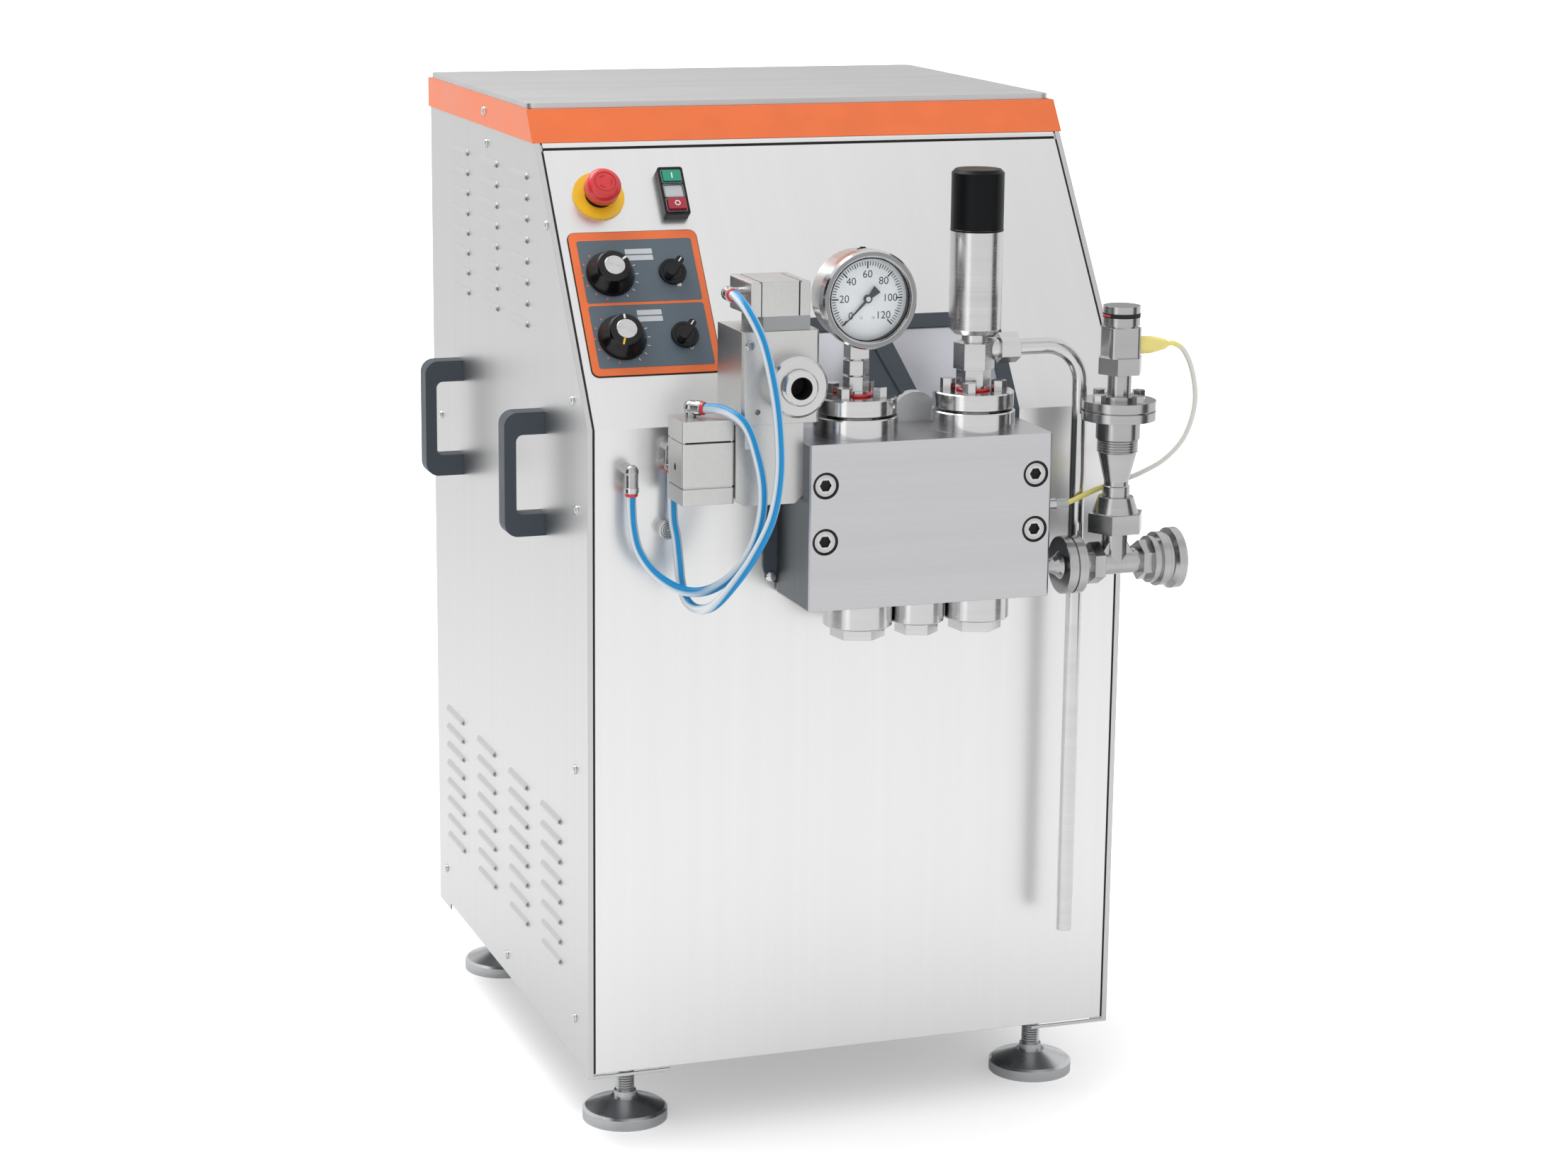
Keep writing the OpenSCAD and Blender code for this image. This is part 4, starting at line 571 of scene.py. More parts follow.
def make_finish(name):
    """Makes a finish from the arguments that its maker takes after the name."""
    c = bpy.context.scene.homogenizer_colours
    soft = bpy.context.scene.homogenizer_sizes.soft_edge
    # Inlet and fitting steel wear the polished colour darkened as painted shade.
    polish_painted_shade = shade(c.polish, 0.74)
    cable = tint(226, 226, 220)
    metals = {
        "sheet steel": (c.sheet, 0.29, UPRIGHT, 0.02, 0.03, 0.004, soft),
        # The side panels wear the cabinet's sheet colour darkened as painted shade.
        "side steel": (shade(c.sheet, 0.76), 0.34, SIDE_UPRIGHT, 0.025, 0.04, 0.006, soft),
        "cover steel": (c.cover, 0.4, ACROSS, 0.08, 0.1, 0.05, soft),
        "ground steel": (c.block, 0.32, ACROSS, 0.05, 0.1, 0.05, soft),
        "polished steel": (c.polish, 0.16, ROUND_Z, 0.08, 0.08, 0.03),
        "turned steel": (c.polish, 0.24, ROUND_Z, 0.1, 0.1, 0.05),
        "inlet steel": (polish_painted_shade, 0.22, ROUND_X, 0.1, 0.08, 0.04),
        "fitting steel": (polish_painted_shade, 0.22, ROUND_Z, 0.1, 0.08, 0.04),
        "outlet steel": (c.polish, 0.18, ROUND_Y, 0.1, 0.08, 0.04),
        # Dark steel on the block's end faces is painted shade.
        "milled steel": (tint(114, 118, 121), 0.38, SIDE_UPRIGHT, 0.06, 0.08, 0.05, soft),
        # Darker steel for the bezel's band is a painted reflection on the polished bezel.
        "bezel metal": (tint(142, 143, 145), 0.28, ROUND_Y, 0.06, 0.08, 0.03),
        "valve alloy": (c.alloy, 0.36, EVEN, 0.06, 0.08, 0.05, soft),
    }
    moulds = {
        "foot metal": (c.foot, 0.3, 500, 0.05),
        "cast metal": (tint(206, 207, 209), 0.42, 400, 0.1),
        "orange paint": (c.orange, 0.4, 700, 0.05, 0.2),
        "slate paint": (c.slate, 0.5, 1400, 0.15),
        "field paint": (c.field, 0.45, 1400, 0.06),
        "frame paint": (tint(120, 124, 128), 0.5, 600, 0.1),
        "motor paint": (tint(74, 92, 112), 0.45, 500, 0.2),
        # The guard's near-white colour is painted light.
        "guard paint": (c.guard, 0.45, 500, 0.05),
        "black plastic": (tint(15, 16, 18), 0.32, 1200, 0.06),
        "gloss black": (tint(10, 11, 13), 0.2, 1500, 0.02),
        "rough alloy": (tint(158, 159, 161), 0.45, 700, 0.35),
        "satin black": (tint(12, 14, 16), 0.4, 1500, 0.06),
        # Flat black laid as painted shade in gaps, slits, bores, grooves and recesses.
        "gap black": (tint(14, 14, 15), 0.7, 900, 0.1),
        "red plastic": (c.red, 0.3, 1000, 0.04, 0.3),
        "deep red": (shade(c.red, 0.6), 0.4, 1000, 0.04),
        "yellow plastic": (c.yellow, 0.42, 1000, 0.04),
        "green plastic": (c.green, 0.3, 1000, 0.03, 0.4),
        "crimson plastic": (c.crimson, 0.3, 1000, 0.03, 0.4),
        "lens plastic": (tint(196, 200, 204), 0.25, 500, 0.05, 0.6),
        "white print": (tint(240, 240, 238), 0.5, 900, 0.03),
        "grey print": (tint(150, 152, 155), 0.5, 900, 0.03),
        "orange print": (c.orange, 0.5, 900, 0.03),
        "label plate": (tint(205, 209, 213), 0.4, 700, 0.04),
        "dial enamel": (tint(238, 243, 247), 0.45, 500, 0.03),
        "dial ink": (tint(30, 31, 34), 0.5, 500, 0.03),
        "belt rubber": (tint(34, 34, 35), 0.7, 900, 0.2),
        "boot plastic": (c.boot, 0.45, 900, 0.05),
    }
    clears = {
        "clear glass": (tint(245, 248, 250), 0.03, 0.03),
        "clear sleeve": (tint(212, 220, 226), 0.55, 0.15),
    }
    lines = {
        # The tubes' colour follows the side facing a chosen light: the pale stops are a painted highlight
        # and reflection, the rest the tube's blue.
        "tube plastic": ("side", (
            (0.0, tint(150, 164, 176)), (0.2, tint(232, 238, 242)), (0.38, tint(176, 198, 214)),
            (0.46, shade(c.blue, 0.8)), (0.56, c.blue), (0.82, shade(c.blue, 1.12)),
            (0.92, tint(196, 212, 222))), 0.16),
        "cable plastic": ("run", (
            (0.0, c.boot), (0.1, c.boot), (0.14, cable), (0.6, cable),
            (0.68, c.boot), (1.0, c.boot)), 0.35),
    }
    extras = {
        "foot metal": {"metallic": 0.95},
        "cast metal": {"metallic": 0.4},
        "guard paint": {"metallic": 0.95},
        "rough alloy": {"metallic": 0.75},
        "orange paint": {"soft_edge": soft},
        "black plastic": {"specular": 0.3},
        "gloss black": {"soft_edge": 0, "specular": 0.35},
        "satin black": {"specular": 0.14},
    }
    for maker, table in ((metal, metals), (moulded, moulds), (clear, clears), (line_plastic, lines)):
        if name in table:
            return maker(name, *table[name], **extras.get(name, {}))
    raise RuntimeError(f"there is no finish named {name}")


def finish_of(name):
    return bpy.data.materials.get(name) or make_finish(name)


NODE_FINISHES = {
    "sheet steel": ("front_panel", "back_panel"),
    "side steel": ("left_side_panel", "right_side_panel"),
    "cover steel": ("top_cover",),
    "orange paint": ("colour_band", "control_plate"),
    "slate paint": ("side_handles", "window_trim"),
    "frame paint": ("base_frame",),
    "guard paint": ("splash_guard",),
    "motor paint": ("drive_motor",),
    "cast metal": ("crankcase", "motor_pulley", "crank_pulley"),
    "foot metal": (
        "vent_knob", "foot_front_left", "foot_front_right", "foot_rear_left", "foot_rear_right",
    ),
    "ground steel": ("pump_block",),
    "polished steel": (
        "panel_screws", "head_screws", "valve_covers", "suction_plugs", "gauge_bezel", "drain_tube",
        "left_plunger", "middle_plunger", "right_plunger",
    ),
    "fitting steel": ("air_fittings", "inlet_union", "sensor_flanges", "flow_sensor"),
    "turned steel": ("gauge_body", "relief_body"),
    "inlet steel": ("inlet_tee",),
    "outlet steel": ("outlet_union",),
    "valve alloy": ("valve_body", "lower_valve_block", "upper_air_cylinder", "lower_air_cylinder"),
    "red plastic": ("estop_head",),
    "satin black": ("estop_stem", "relief_cap"),
    "yellow plastic": ("estop_plate",),
    "green plastic": ("start_button",),
    "crimson plastic": ("stop_button",),
    "lens plastic": ("pilot_lens",),
    "black plastic": ("switch_housing",),
    "gloss black": ("upper_knob", "lower_knob", "upper_selector", "lower_selector"),
    "dial ink": ("gauge_pointer",),
    "clear glass": ("gauge_glass",),
    "belt rubber": ("drive_belt",),
    "tube plastic": ("air_tube_1", "air_tube_2"),
    "cable plastic": ("sensor_cable",),
}

# Slots of the finishes that lines and fitted pieces wear; white print and the dial's have none
FINISH_SLOTS = {
    "tube plastic": "tube_plastic",
    "cable plastic": "cable_plastic",
    "boot plastic": "cable_plastic",
    "sheet steel": "panel_steel",
    "outlet steel": "turned_steel",
    "foot metal": "foot_steel",
    "rough alloy": "silver_metal",
    "field paint": "slate_paint",
    "orange print": "orange_paint",
    "yellow plastic": "yellow_plastic",
    **dict.fromkeys(("polished steel", "bezel metal", "milled steel"), "polished_steel"),
    **dict.fromkeys(("black plastic", "gloss black", "satin black", "gap black"), "black_plastic"),
    **dict.fromkeys(("red plastic", "deep red"), "red_plastic"),
    **dict.fromkeys(("label plate", "grey print", "clear sleeve"), "lens_plastic"),
}


# Flexible lines


def smooth_run(points, steps=8):
    """Points of the frame on a smooth curve through a route."""
    knots = [spot(*p) for p in points]
    knots = [2 * knots[0] - knots[1], *knots, 2 * knots[-1] - knots[-2]]
    run = []
    for a, b, c, d in zip(knots, knots[1:], knots[2:], knots[3:]):
        for i in range(steps):
            t = i / steps
            run.append(0.5 * (2 * b + (c - a) * t + (2 * a - 5 * b + 4 * c - d) * t * t
                              + (3 * b - a - 3 * c + d) * t ** 3))
    return run + [knots[-2]]


def line_piece(name, points, diameter, finish, lit_from):
    """A round line along a route, with its share of the length and its lit side as attributes."""
    run = smooth_run(points)
    begin()
    curve = bpy.data.curves.new(name, "CURVE")
    curve.dimensions = "3D"
    spline = curve.splines.new("POLY")
    spline.points.add(len(run) - 1)
    for knot, point in zip(spline.points, run):
        knot.co = (*point, 1)
    curve.bevel_depth = diameter / 2
    curve.bevel_resolution = 5
    curve.use_fill_caps = True
    made = bpy.data.objects.new(name, curve)
    bpy.context.scene.collection.objects.link(made)
    pick(made)
    bpy.ops.object.convert(target="MESH")
    made = bpy.context.object
    tree = KDTree(len(run))
    for i, point in enumerate(run):
        tree.insert(point, i)
    tree.balance()
    share = made.data.attributes.new("run", "FLOAT", "POINT")
    side = made.data.attributes.new("side", "FLOAT", "POINT")
    lit = Vector(lit_from).normalized()
    for i, vertex in enumerate(made.data.vertices):
        nearest, index, _ = tree.find(vertex.co)
        share.data[i].value = index / (len(run) - 1)
        side.data[i].value = 0.5 + 0.5 * (vertex.co - nearest).normalized().dot(lit)
    bpy.ops.object.shade_smooth()
    made.name = made.data.name = name + "_line"
    wear(made, finish)
    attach(made, "cabinet")
    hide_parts(name)


class HOMOGENIZER_OT_lines(bpy.types.Operator):
    """Run the two air tubes and the sensor's cable with its boot and sleeve"""

    bl_idname = "homogenizer.lines"
    bl_label = "Flexible lines"

    def execute(self, context):
        s = context.scene.homogenizer_sizes
        for name, points in (("air_tube_1", AIR_TUBE_1), ("air_tube_2", AIR_TUBE_2)):
            # The direction sets the side that carries the tubes' painted highlight.
            line_piece(name, points, s.tube_d, "tube plastic", (0.9, -0.32, 0.3))
        line_piece("sensor_cable", SENSOR_CABLE, s.cable_d, "cable plastic", (0.5, -0.3, 0.8))
        bulb = [
            (8.6, 4.4), (9.8, 5), (10.2, 12), (10.2, 18), (9.7, 23), (8.6, 28), (7.4, 33), (6.6, 37),
            (5.6, 40), (4.4, 42), (3.2, 42.4), (3.2, 4.4), (8.6, 4.4),
        ]
        boot_at = (RISER_X + 15, INLET_Y, SENSOR_CABLE[0][2])
        settle(turned(bulb, 32), "sensor_boot", "boot plastic", facing(*boot_at, (1, 0, 0)))
        settle(turned(ring(3.1, 5.6, -3, 15, 0.6), 24), "gland_sleeve", "clear sleeve",
               facing(*SENSOR_CABLE[-1], (1, 0, 0)))
        return {"FINISHED"}


# Camera and studio

CAMERA_AT = (-1360.2, -3580.3, 1515.9)
CAMERA_YAW, CAMERA_PITCH, CAMERA_ROLL = 19.48, -12.89, 0.615
FOCAL_PX, IMAGE_W, SENSOR = 4854.3, 2213, 36.0
WORLD_SEEN, WORLD_LIGHTS = 1.0, 0.86
FLOOR_SIZE = 60
FLOOR_GLOW, FLOOR_FADE = (0.38, 1.0), (0.42, 1.05)
FLOOR_GLOSSY_SHARE = 0.2
LAMP_AT, LAMP_TOWARDS = Vector((-1.0, 0.9, 3.6)), Vector((0.1, -0.1, 0.4))
LAMP_SIZE, LAMP_WATTS = (2.2, 1.8), 60
CARDS = (
    ("left_card", (-2.5, -0.35, 1.1), (0, -0.35, 0.9), 1.7, 2.6, 0.03),
    ("left_light", (-1.9, -1.75, 1.2), (0, -0.35, 0.9), 0.6, 2.4, 1.6),
    ("right_card", (2.3, -1.35, 1.1), (0, -0.35, 0.9), 1.1, 2.6, 0.08),
    ("back_card", (1.4, 4.2, 1.7), (0, 0.2, 1.1), 4.0, 1.6, 0.42),
    ("upper_card", (1.5, -1.5, 3.0), (0.1, -0.2, 1.0), 1.2, 1.2, 0.8),
)


def make_camera(scene):
    begin()
    bpy.ops.object.camera_add()
    camera = bpy.context.object
    yaw, pitch, roll = (math.radians(a) for a in (CAMERA_YAW, CAMERA_PITCH, CAMERA_ROLL))
    ahead = Vector((math.sin(yaw) * math.cos(pitch), math.cos(yaw) * math.cos(pitch), math.sin(pitch)))
    level = Vector((math.cos(yaw), -math.sin(yaw), 0))
    above = level.cross(ahead)
    right = math.cos(roll) * level + math.sin(roll) * above
    up = math.cos(roll) * above - math.sin(roll) * level
    camera.matrix_world = seat(spot(*CAMERA_AT), right, up)
    camera.data.sensor_width = SENSOR
    camera.data.lens = FOCAL_PX * SENSOR / IMAGE_W
    camera.data.clip_end = 100
    camera.name = "camera"
    scene.camera = camera


def make_world(scene):
    """White where it is seen, also in metal and glass, and softer where it lights."""
    world = bpy.data.worlds.new("studio")
    scene.world = world
    world.use_nodes = True
    tree = world.node_tree
    tree.nodes.clear()
    seen, lights = new_node(tree, "Background"), new_node(tree, "Background")
    for part, strength in ((seen, WORLD_SEEN), (lights, WORLD_LIGHTS)):
        part.inputs["Color"].default_value = (1, 1, 1, 1)
        part.inputs["Strength"].default_value = strength
    path, mix, end = (new_node(tree, kind) for kind in ("LightPath", "MixShader", "OutputWorld"))
    first, both = new_node(tree, "Math", "MAXIMUM"), new_node(tree, "Math", "MAXIMUM")
    link = tree.links.new
    link(path.outputs["Is Camera Ray"], first.inputs[0])
    link(path.outputs["Is Glossy Ray"], first.inputs[1])
    link(first.outputs[0], both.inputs[0])
    link(path.outputs["Is Transmission Ray"], both.inputs[1])
    link(both.outputs[0], mix.inputs["Fac"])
    link(lights.outputs[0], mix.inputs[1])
    link(seen.outputs[0], mix.inputs[2])
    link(mix.outputs[0], end.inputs["Surface"])


def floor_finish():
    """Pale floor that keeps the shadow near the machine and fades to white further out."""
    made, tree, shader = new_finish("studio floor", {"Roughness": 0.9, "Specular IOR Level": 0.1})
    shader.inputs["Base Color"].default_value = (0.9, 0.9, 0.9, 1)
    where, path = new_node(tree, "TexCoord"), new_node(tree, "LightPath")
    far = new_node(tree, "VectorMath", "LENGTH")
    glow, seen = new_node(tree, "Math", "MULTIPLY"), new_node(tree, "Math", "MULTIPLY_ADD")
    seen.inputs[1].default_value = FLOOR_GLOSSY_SHARE
    tree.links.new(where.outputs["Object"], far.inputs[0])
    rise = spread(tree, far.outputs["Value"], *FLOOR_GLOW, *FLOOR_FADE)
    tree.links.new(rise, glow.inputs[0])
    tree.links.new(path.outputs["Is Glossy Ray"], seen.inputs[0])
    tree.links.new(path.outputs["Is Camera Ray"], seen.inputs[2])
    tree.links.new(seen.outputs[0], glow.inputs[1])
    shader.inputs["Emission Color"].default_value = (1, 1, 1, 1)
    tree.links.new(glow.outputs[0], shader.inputs["Emission Strength"])
    return made


def card(name, at, towards, w, h, grey):
    """A studio card that only metal and glass see."""
    begin()
    bpy.ops.mesh.primitive_plane_add(size=1)
    made = bpy.context.object
    look = (Vector(towards) - Vector(at)).to_track_quat("Z", "Y").to_matrix().to_4x4()
    made.matrix_world = Matrix.Translation(at) @ look @ Matrix.Diagonal((w, h, 1, 1))
    paint = bpy.data.materials.new(name)
    paint.use_nodes = True
    tree = paint.node_tree
    tree.nodes.clear()
    glow, end = new_node(tree, "Emission"), new_node(tree, "OutputMaterial")
    glow.inputs["Color"].default_value = (grey, grey, grey, 1)
    tree.links.new(glow.outputs[0], end.inputs["Surface"])
    made.data.materials.append(paint)
    made.name = name
    made.visible_camera = made.visible_diffuse = made.visible_shadow = False


class HOMOGENIZER_OT_stage(bpy.types.Operator):
    """Set up the camera, the floor, the world, the lamp and the studio cards"""

    bl_idname = "homogenizer.stage"
    bl_label = "Camera and studio"

    def execute(self, context):
        scene = context.scene
        make_camera(scene)
        make_world(scene)
        begin()
        bpy.ops.mesh.primitive_plane_add(size=FLOOR_SIZE)
        floor = bpy.context.object
        floor.name = "studio_floor"
        floor.data.materials.append(floor_finish())
        begin()
        bpy.ops.object.light_add(type="AREA", location=LAMP_AT)
        lamp = bpy.context.object
        lamp.name = "overhead_lamp"
        lamp.data.shape = "RECTANGLE"
        lamp.data.size, lamp.data.size_y = LAMP_SIZE
        lamp.data.energy = LAMP_WATTS
        lamp.rotation_euler = (LAMP_TOWARDS - LAMP_AT).to_track_quat("-Z", "Y").to_euler()
        for values in CARDS:
            card(*values)
        scene.view_settings.view_transform = "Standard"
        return {"FINISHED"}


class HOMOGENIZER_OT_finishes(bpy.types.Operator):
    """Give every machined, sheet and moulded piece its finish"""

    bl_idname = "homogenizer.finishes"
    bl_label = "Finishes"

    def execute(self, context):
        dressed = set()
        for name, nodes in NODE_FINISHES.items():
            for n in nodes:
                wear(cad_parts[n], name)
                dressed.add(n)
        left = set(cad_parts) - dressed
        if left:
            raise RuntimeError(f"no finish for {sorted(left)}")
        return {"FINISHED"}


# Fitted pieces

DIAL_T, INK_T = 0.3, 0.08
SCALE_START, TICK_STEP, TICK_END = 225, 4.5, 41.2
NUMBER_REACH = 26.8


class HOMOGENIZER_OT_gauge(bpy.types.Operator):
    """Lay the gauge's dial, scale, numbers, rings, hub, screws and vent plug"""

    bl_idname = "homogenizer.gauge"
    bl_label = "Gauge face"

    def execute(self, context):
        s = context.scene.homogenizer_sizes
        r = s.dial_r / MM
        face = on_front(GAUGE_X, GAUGE_Z, DIAL_OUT)
        settle(turned([(0, 0), (r, 0), (r, 0.2), (r - 0.5, DIAL_T), (0, DIAL_T)], 64),
               "gauge_dial", "dial enamel", face)
        ticks = []
        for width, inner, every in ((0.9, 36.6, 1), (1.1, 35.4, 5), (1.6, 33.4, 10)):
            spots = [face @ turn(SCALE_START - TICK_STEP * i) @ shift((inner + TICK_END) / 2, 0, DIAL_T)
                     for i in range(0, 61, every)]
            ticks.append(repeat(plate(TICK_END - inner, width, INK_T), spots))
        settle(unite(ticks), "gauge_scale", "dial ink")
        numbers = []
        for i in range(7):
            angle = math.radians(SCALE_START - 10 * TICK_STEP * i)
            at = shift(NUMBER_REACH * math.cos(angle), NUMBER_REACH * math.sin(angle), DIAL_T + INK_T / 2)
            numbers.append(place(lettering(str(20 * i), s.number_h, INK_T), face @ at))
        settle(unite(numbers), "gauge_numbers", "dial ink")
        # A black ring round the inside of the bezel is painted shadow.
        settle(turned([(46.95, DIAL_T), (46.95, 9), (45.2, 9), (45.8, DIAL_T), (46.95, DIAL_T)], 64),
               "gauge_inner_shadow_ring", "satin black", face)
        settle(turned([(0, 0), (3.0, 0), (3.0, 0.5), (2.5, 0.9), (1.2, 0.8), (0, 1.0)], 32),
               "pointer_hub", "polished steel", face @ shift(0, 0, 4.4), "pointer")
        # A darker band on the bezel is a painted reflection.
        settle(turned([(48.7, 0), (52.7, 0), (52.4, 0.25), (49.0, 0.25), (48.7, 0)], 72),
               "bezel_band", "bezel metal", on_front(GAUGE_X, GAUGE_Z, BEZEL_OUT))
        screw = turned([(0, 0), (1.6, 0), (1.6, 0.4), (1.1, 0.8), (0, 0.9)], 16)
        settle(repeat(screw, [face @ shift(x, -21, DIAL_T) for x in (-7, 7)]),
               "dial_screws", "polished steel")
        settle(turned([(0, 0), (6.5, 0), (6.5, 2.4), (5.6, 3.2), (3.2, 3.2), (3.2, 4.6), (0, 4.8)], 24),
               "gauge_vent_plug", "satin black", on_top(*GAUGE_PLUG))
        return {"FINISHED"}


MARK_REACH = 31.5
DOT_ANGLES = (130, 155, 180, 205, 230, 255)
TICK_ANGLES = (40, 20, 0, -20, -40, -60)


class HOMOGENIZER_OT_controls(bpy.types.Operator):
    """Fit the control plate's fields, labels, marks and painted shadow line, and the trim of its knobs and
    selectors
    """

    bl_idname = "homogenizer.controls"
    bl_label = "Control plate and knobs"

    def execute(self, context):
        cap_r = context.scene.homogenizer_sizes.knob_cap_r / MM
        fields = [place(plate(135, h, 0.22, 3), on_slope(-231, up, PLATE_OUT))
                  for h, up in ((79, 195), (78, 113))]
        settle(unite(fields), "control_fields", "field paint")
        # A dark rim round the control plate is a painted shadow line at its edge.
        settle(rim(153, 182, 1.2, 1.0, 9), "control_shadow_line", "gap black", on_slope(*CONTROL_MID))
        labels = [place(plate(w, 6.6, 0.25, 0.8), on_slope(x, up, FIELD_OUT))
                  for w, x, up in (
                      (32, -228, 219), (32, -228, 211), (29, -229, 141.5), (29, -229, 133.5))]
        settle(unite(labels), "label_plates", "label plate")
        dots, ticks = [], []
        for _, x, up in KNOBS:
            at = on_slope(x, up, FIELD_OUT)
            dots += [at @ turn(a) @ shift(MARK_REACH, 0) for a in DOT_ANGLES]
            ticks += [at @ turn(a) @ shift(MARK_REACH, 0) for a in TICK_ANGLES]
        settle(repeat(turned([(0, 0), (1.3, 0), (1.3, 0.1), (0, 0.15)], 12), dots),
               "scale_dots", "orange print")
        settle(repeat(plate(3.2, 0.9, 0.12), ticks), "scale_ticks", "white print")
        collar = turned(ring(11.3, 15.9, 0, 4.3, 0.6), 40)
        settle(repeat(collar, [on_slope(x, up, PLATE_OUT) for _, x, up in SELECTORS]),
               "selector_rings", "black plastic")
        marks = [
            place(plate(5.2, 4.4, 0.12, 1), on_slope(-187.4, 175.5, FIELD_OUT)),
            place(rim(2.6, 2.8, 0.6, 0.12, 0.8), on_slope(-187.4, 178.4, FIELD_OUT)),
            place(turned(ring(1.5, 2.3, 0, 0.12, 0.05), 24), on_slope(-187, 96, FIELD_OUT)),
        ]
        settle(unite(marks), "selector_marks", "white print")
        shell = [
            (27.0, 0.2), (27.9, 0.6), (27.9, 2.4), (26.6, 5.6), (24.4, 9.6), (22.3, 14), (20.6, 18),
            (19.7, 20.6), (18.6, 21.9), (17, 22.3), (0, 22.35), (0, 22.1), (17, 22.05), (19.52, 20.4),
            (27.0, 0.2),
        ]
        spun = [(0, 0), (cap_r, 0), (cap_r, 0.7), (cap_r - 0.5, 1.1)]
        for i in range(10):
            r = cap_r - 1 - i
            spun += [(r, 0.95), (r - 0.5, 1.08)]
        spun += [(0, 1.0)]
        for (name, x, up), angle in zip(KNOBS, (35, 90)):
            body = name + "_dial"
            top = on_slope(x, up, KNOB_OUT)
            settle(turned(shell), name + "_knob_shell", "gloss black", on_slope(x, up, SHELL_OUT), body, 50)
            settle(turned(spun), name + "_knob_cap", "polished steel", top @ shift(0, 0, 0.35), body, 20)
            settle(plate(5.6, 2.2, 0.5, 0.3), name + "_knob_line", "white print",
                   top @ turn(angle) @ shift(15.6, 0, 0.1), body)
        settle(plate(8, 2.2, 1.0, 0.3), "lower_cap_line", "yellow plastic",
               on_slope(*KNOBS[1][1:], POINTER_OUT) @ turn(250) @ shift(15.9, 0), "lower_dial")
        for name, x, up in SELECTORS:
            settle(plate(6.5, 1.4, 0.2, 0.3), name + "_selector_tick", "white print",
                   on_slope(x, up, GRIP_OUT) @ turn(50) @ shift(9.5, 0), name + "_grip")
        return {"FINISHED"}


class HOMOGENIZER_OT_buttons(bpy.types.Operator):
    """Fit the emergency stop's crown, ring, arrows and collar and the push buttons' marks and frames"""

    bl_idname = "homogenizer.buttons"
    bl_label = "Push buttons"

    def execute(self, context):
        top = on_slope(*ESTOP, ESTOP_OUT)
        crown = [
            (20.05, 15), (20.4, 15.3), (20.5, 26), (19.9, 29.6), (18.2, 32.4), (15.6, 34.2), (12.8, 34.8),
            (0, 35), (0, 34.4), (12.8, 34.2), (19.3, 29.2), (20.05, 26), (20.05, 15),
        ]
        settle(turned(crown), "stop_head_crown", "red plastic", on_slope(*ESTOP), "estop_cap", 50)
        settle(turned(ring(11.6, 12.4, 0, 0.25, 0.1), 48), "stop_head_ring", "deep red", top, "estop_cap")
        arrow = turned(ring(6.8, 8.2, 0, 0.2, 0.05), 10, 50)
        settle(repeat(arrow, [top @ turn(a) for a in (20, 140, 260)]), "stop_head_arrows", "deep red",
               body="estop_cap")
        # The dark collar under the stop's head is painted shade.
        settle(turned(ring(11.2, 16.4, 0, 1.1, 0.3), 48),
               "stop_collar", "gap black", on_slope(*ESTOP, DISC_OUT))
        x, up = SWITCH
        low, high = up - BUTTON_STEP, up + BUTTON_STEP
        spots = [on_slope(x, at, HOUSING_OUT) for at in (low, up, high)]
        settle(repeat(rim(24.2, 17.2, 0.8, 0.3, 2.2), spots), "button_frames", "grey print")
        settle(plate(1.6, 7.2, 0.15, 0.2),
               "start_mark", "white print", on_slope(x, high, START_OUT), "start_key")
        settle(turned(ring(2.2, 3.4, 0, 0.15, 0.05), 32),
               "stop_mark", "white print", on_slope(x, low, STOP_OUT), "stop_key")
        return {"FINISHED"}


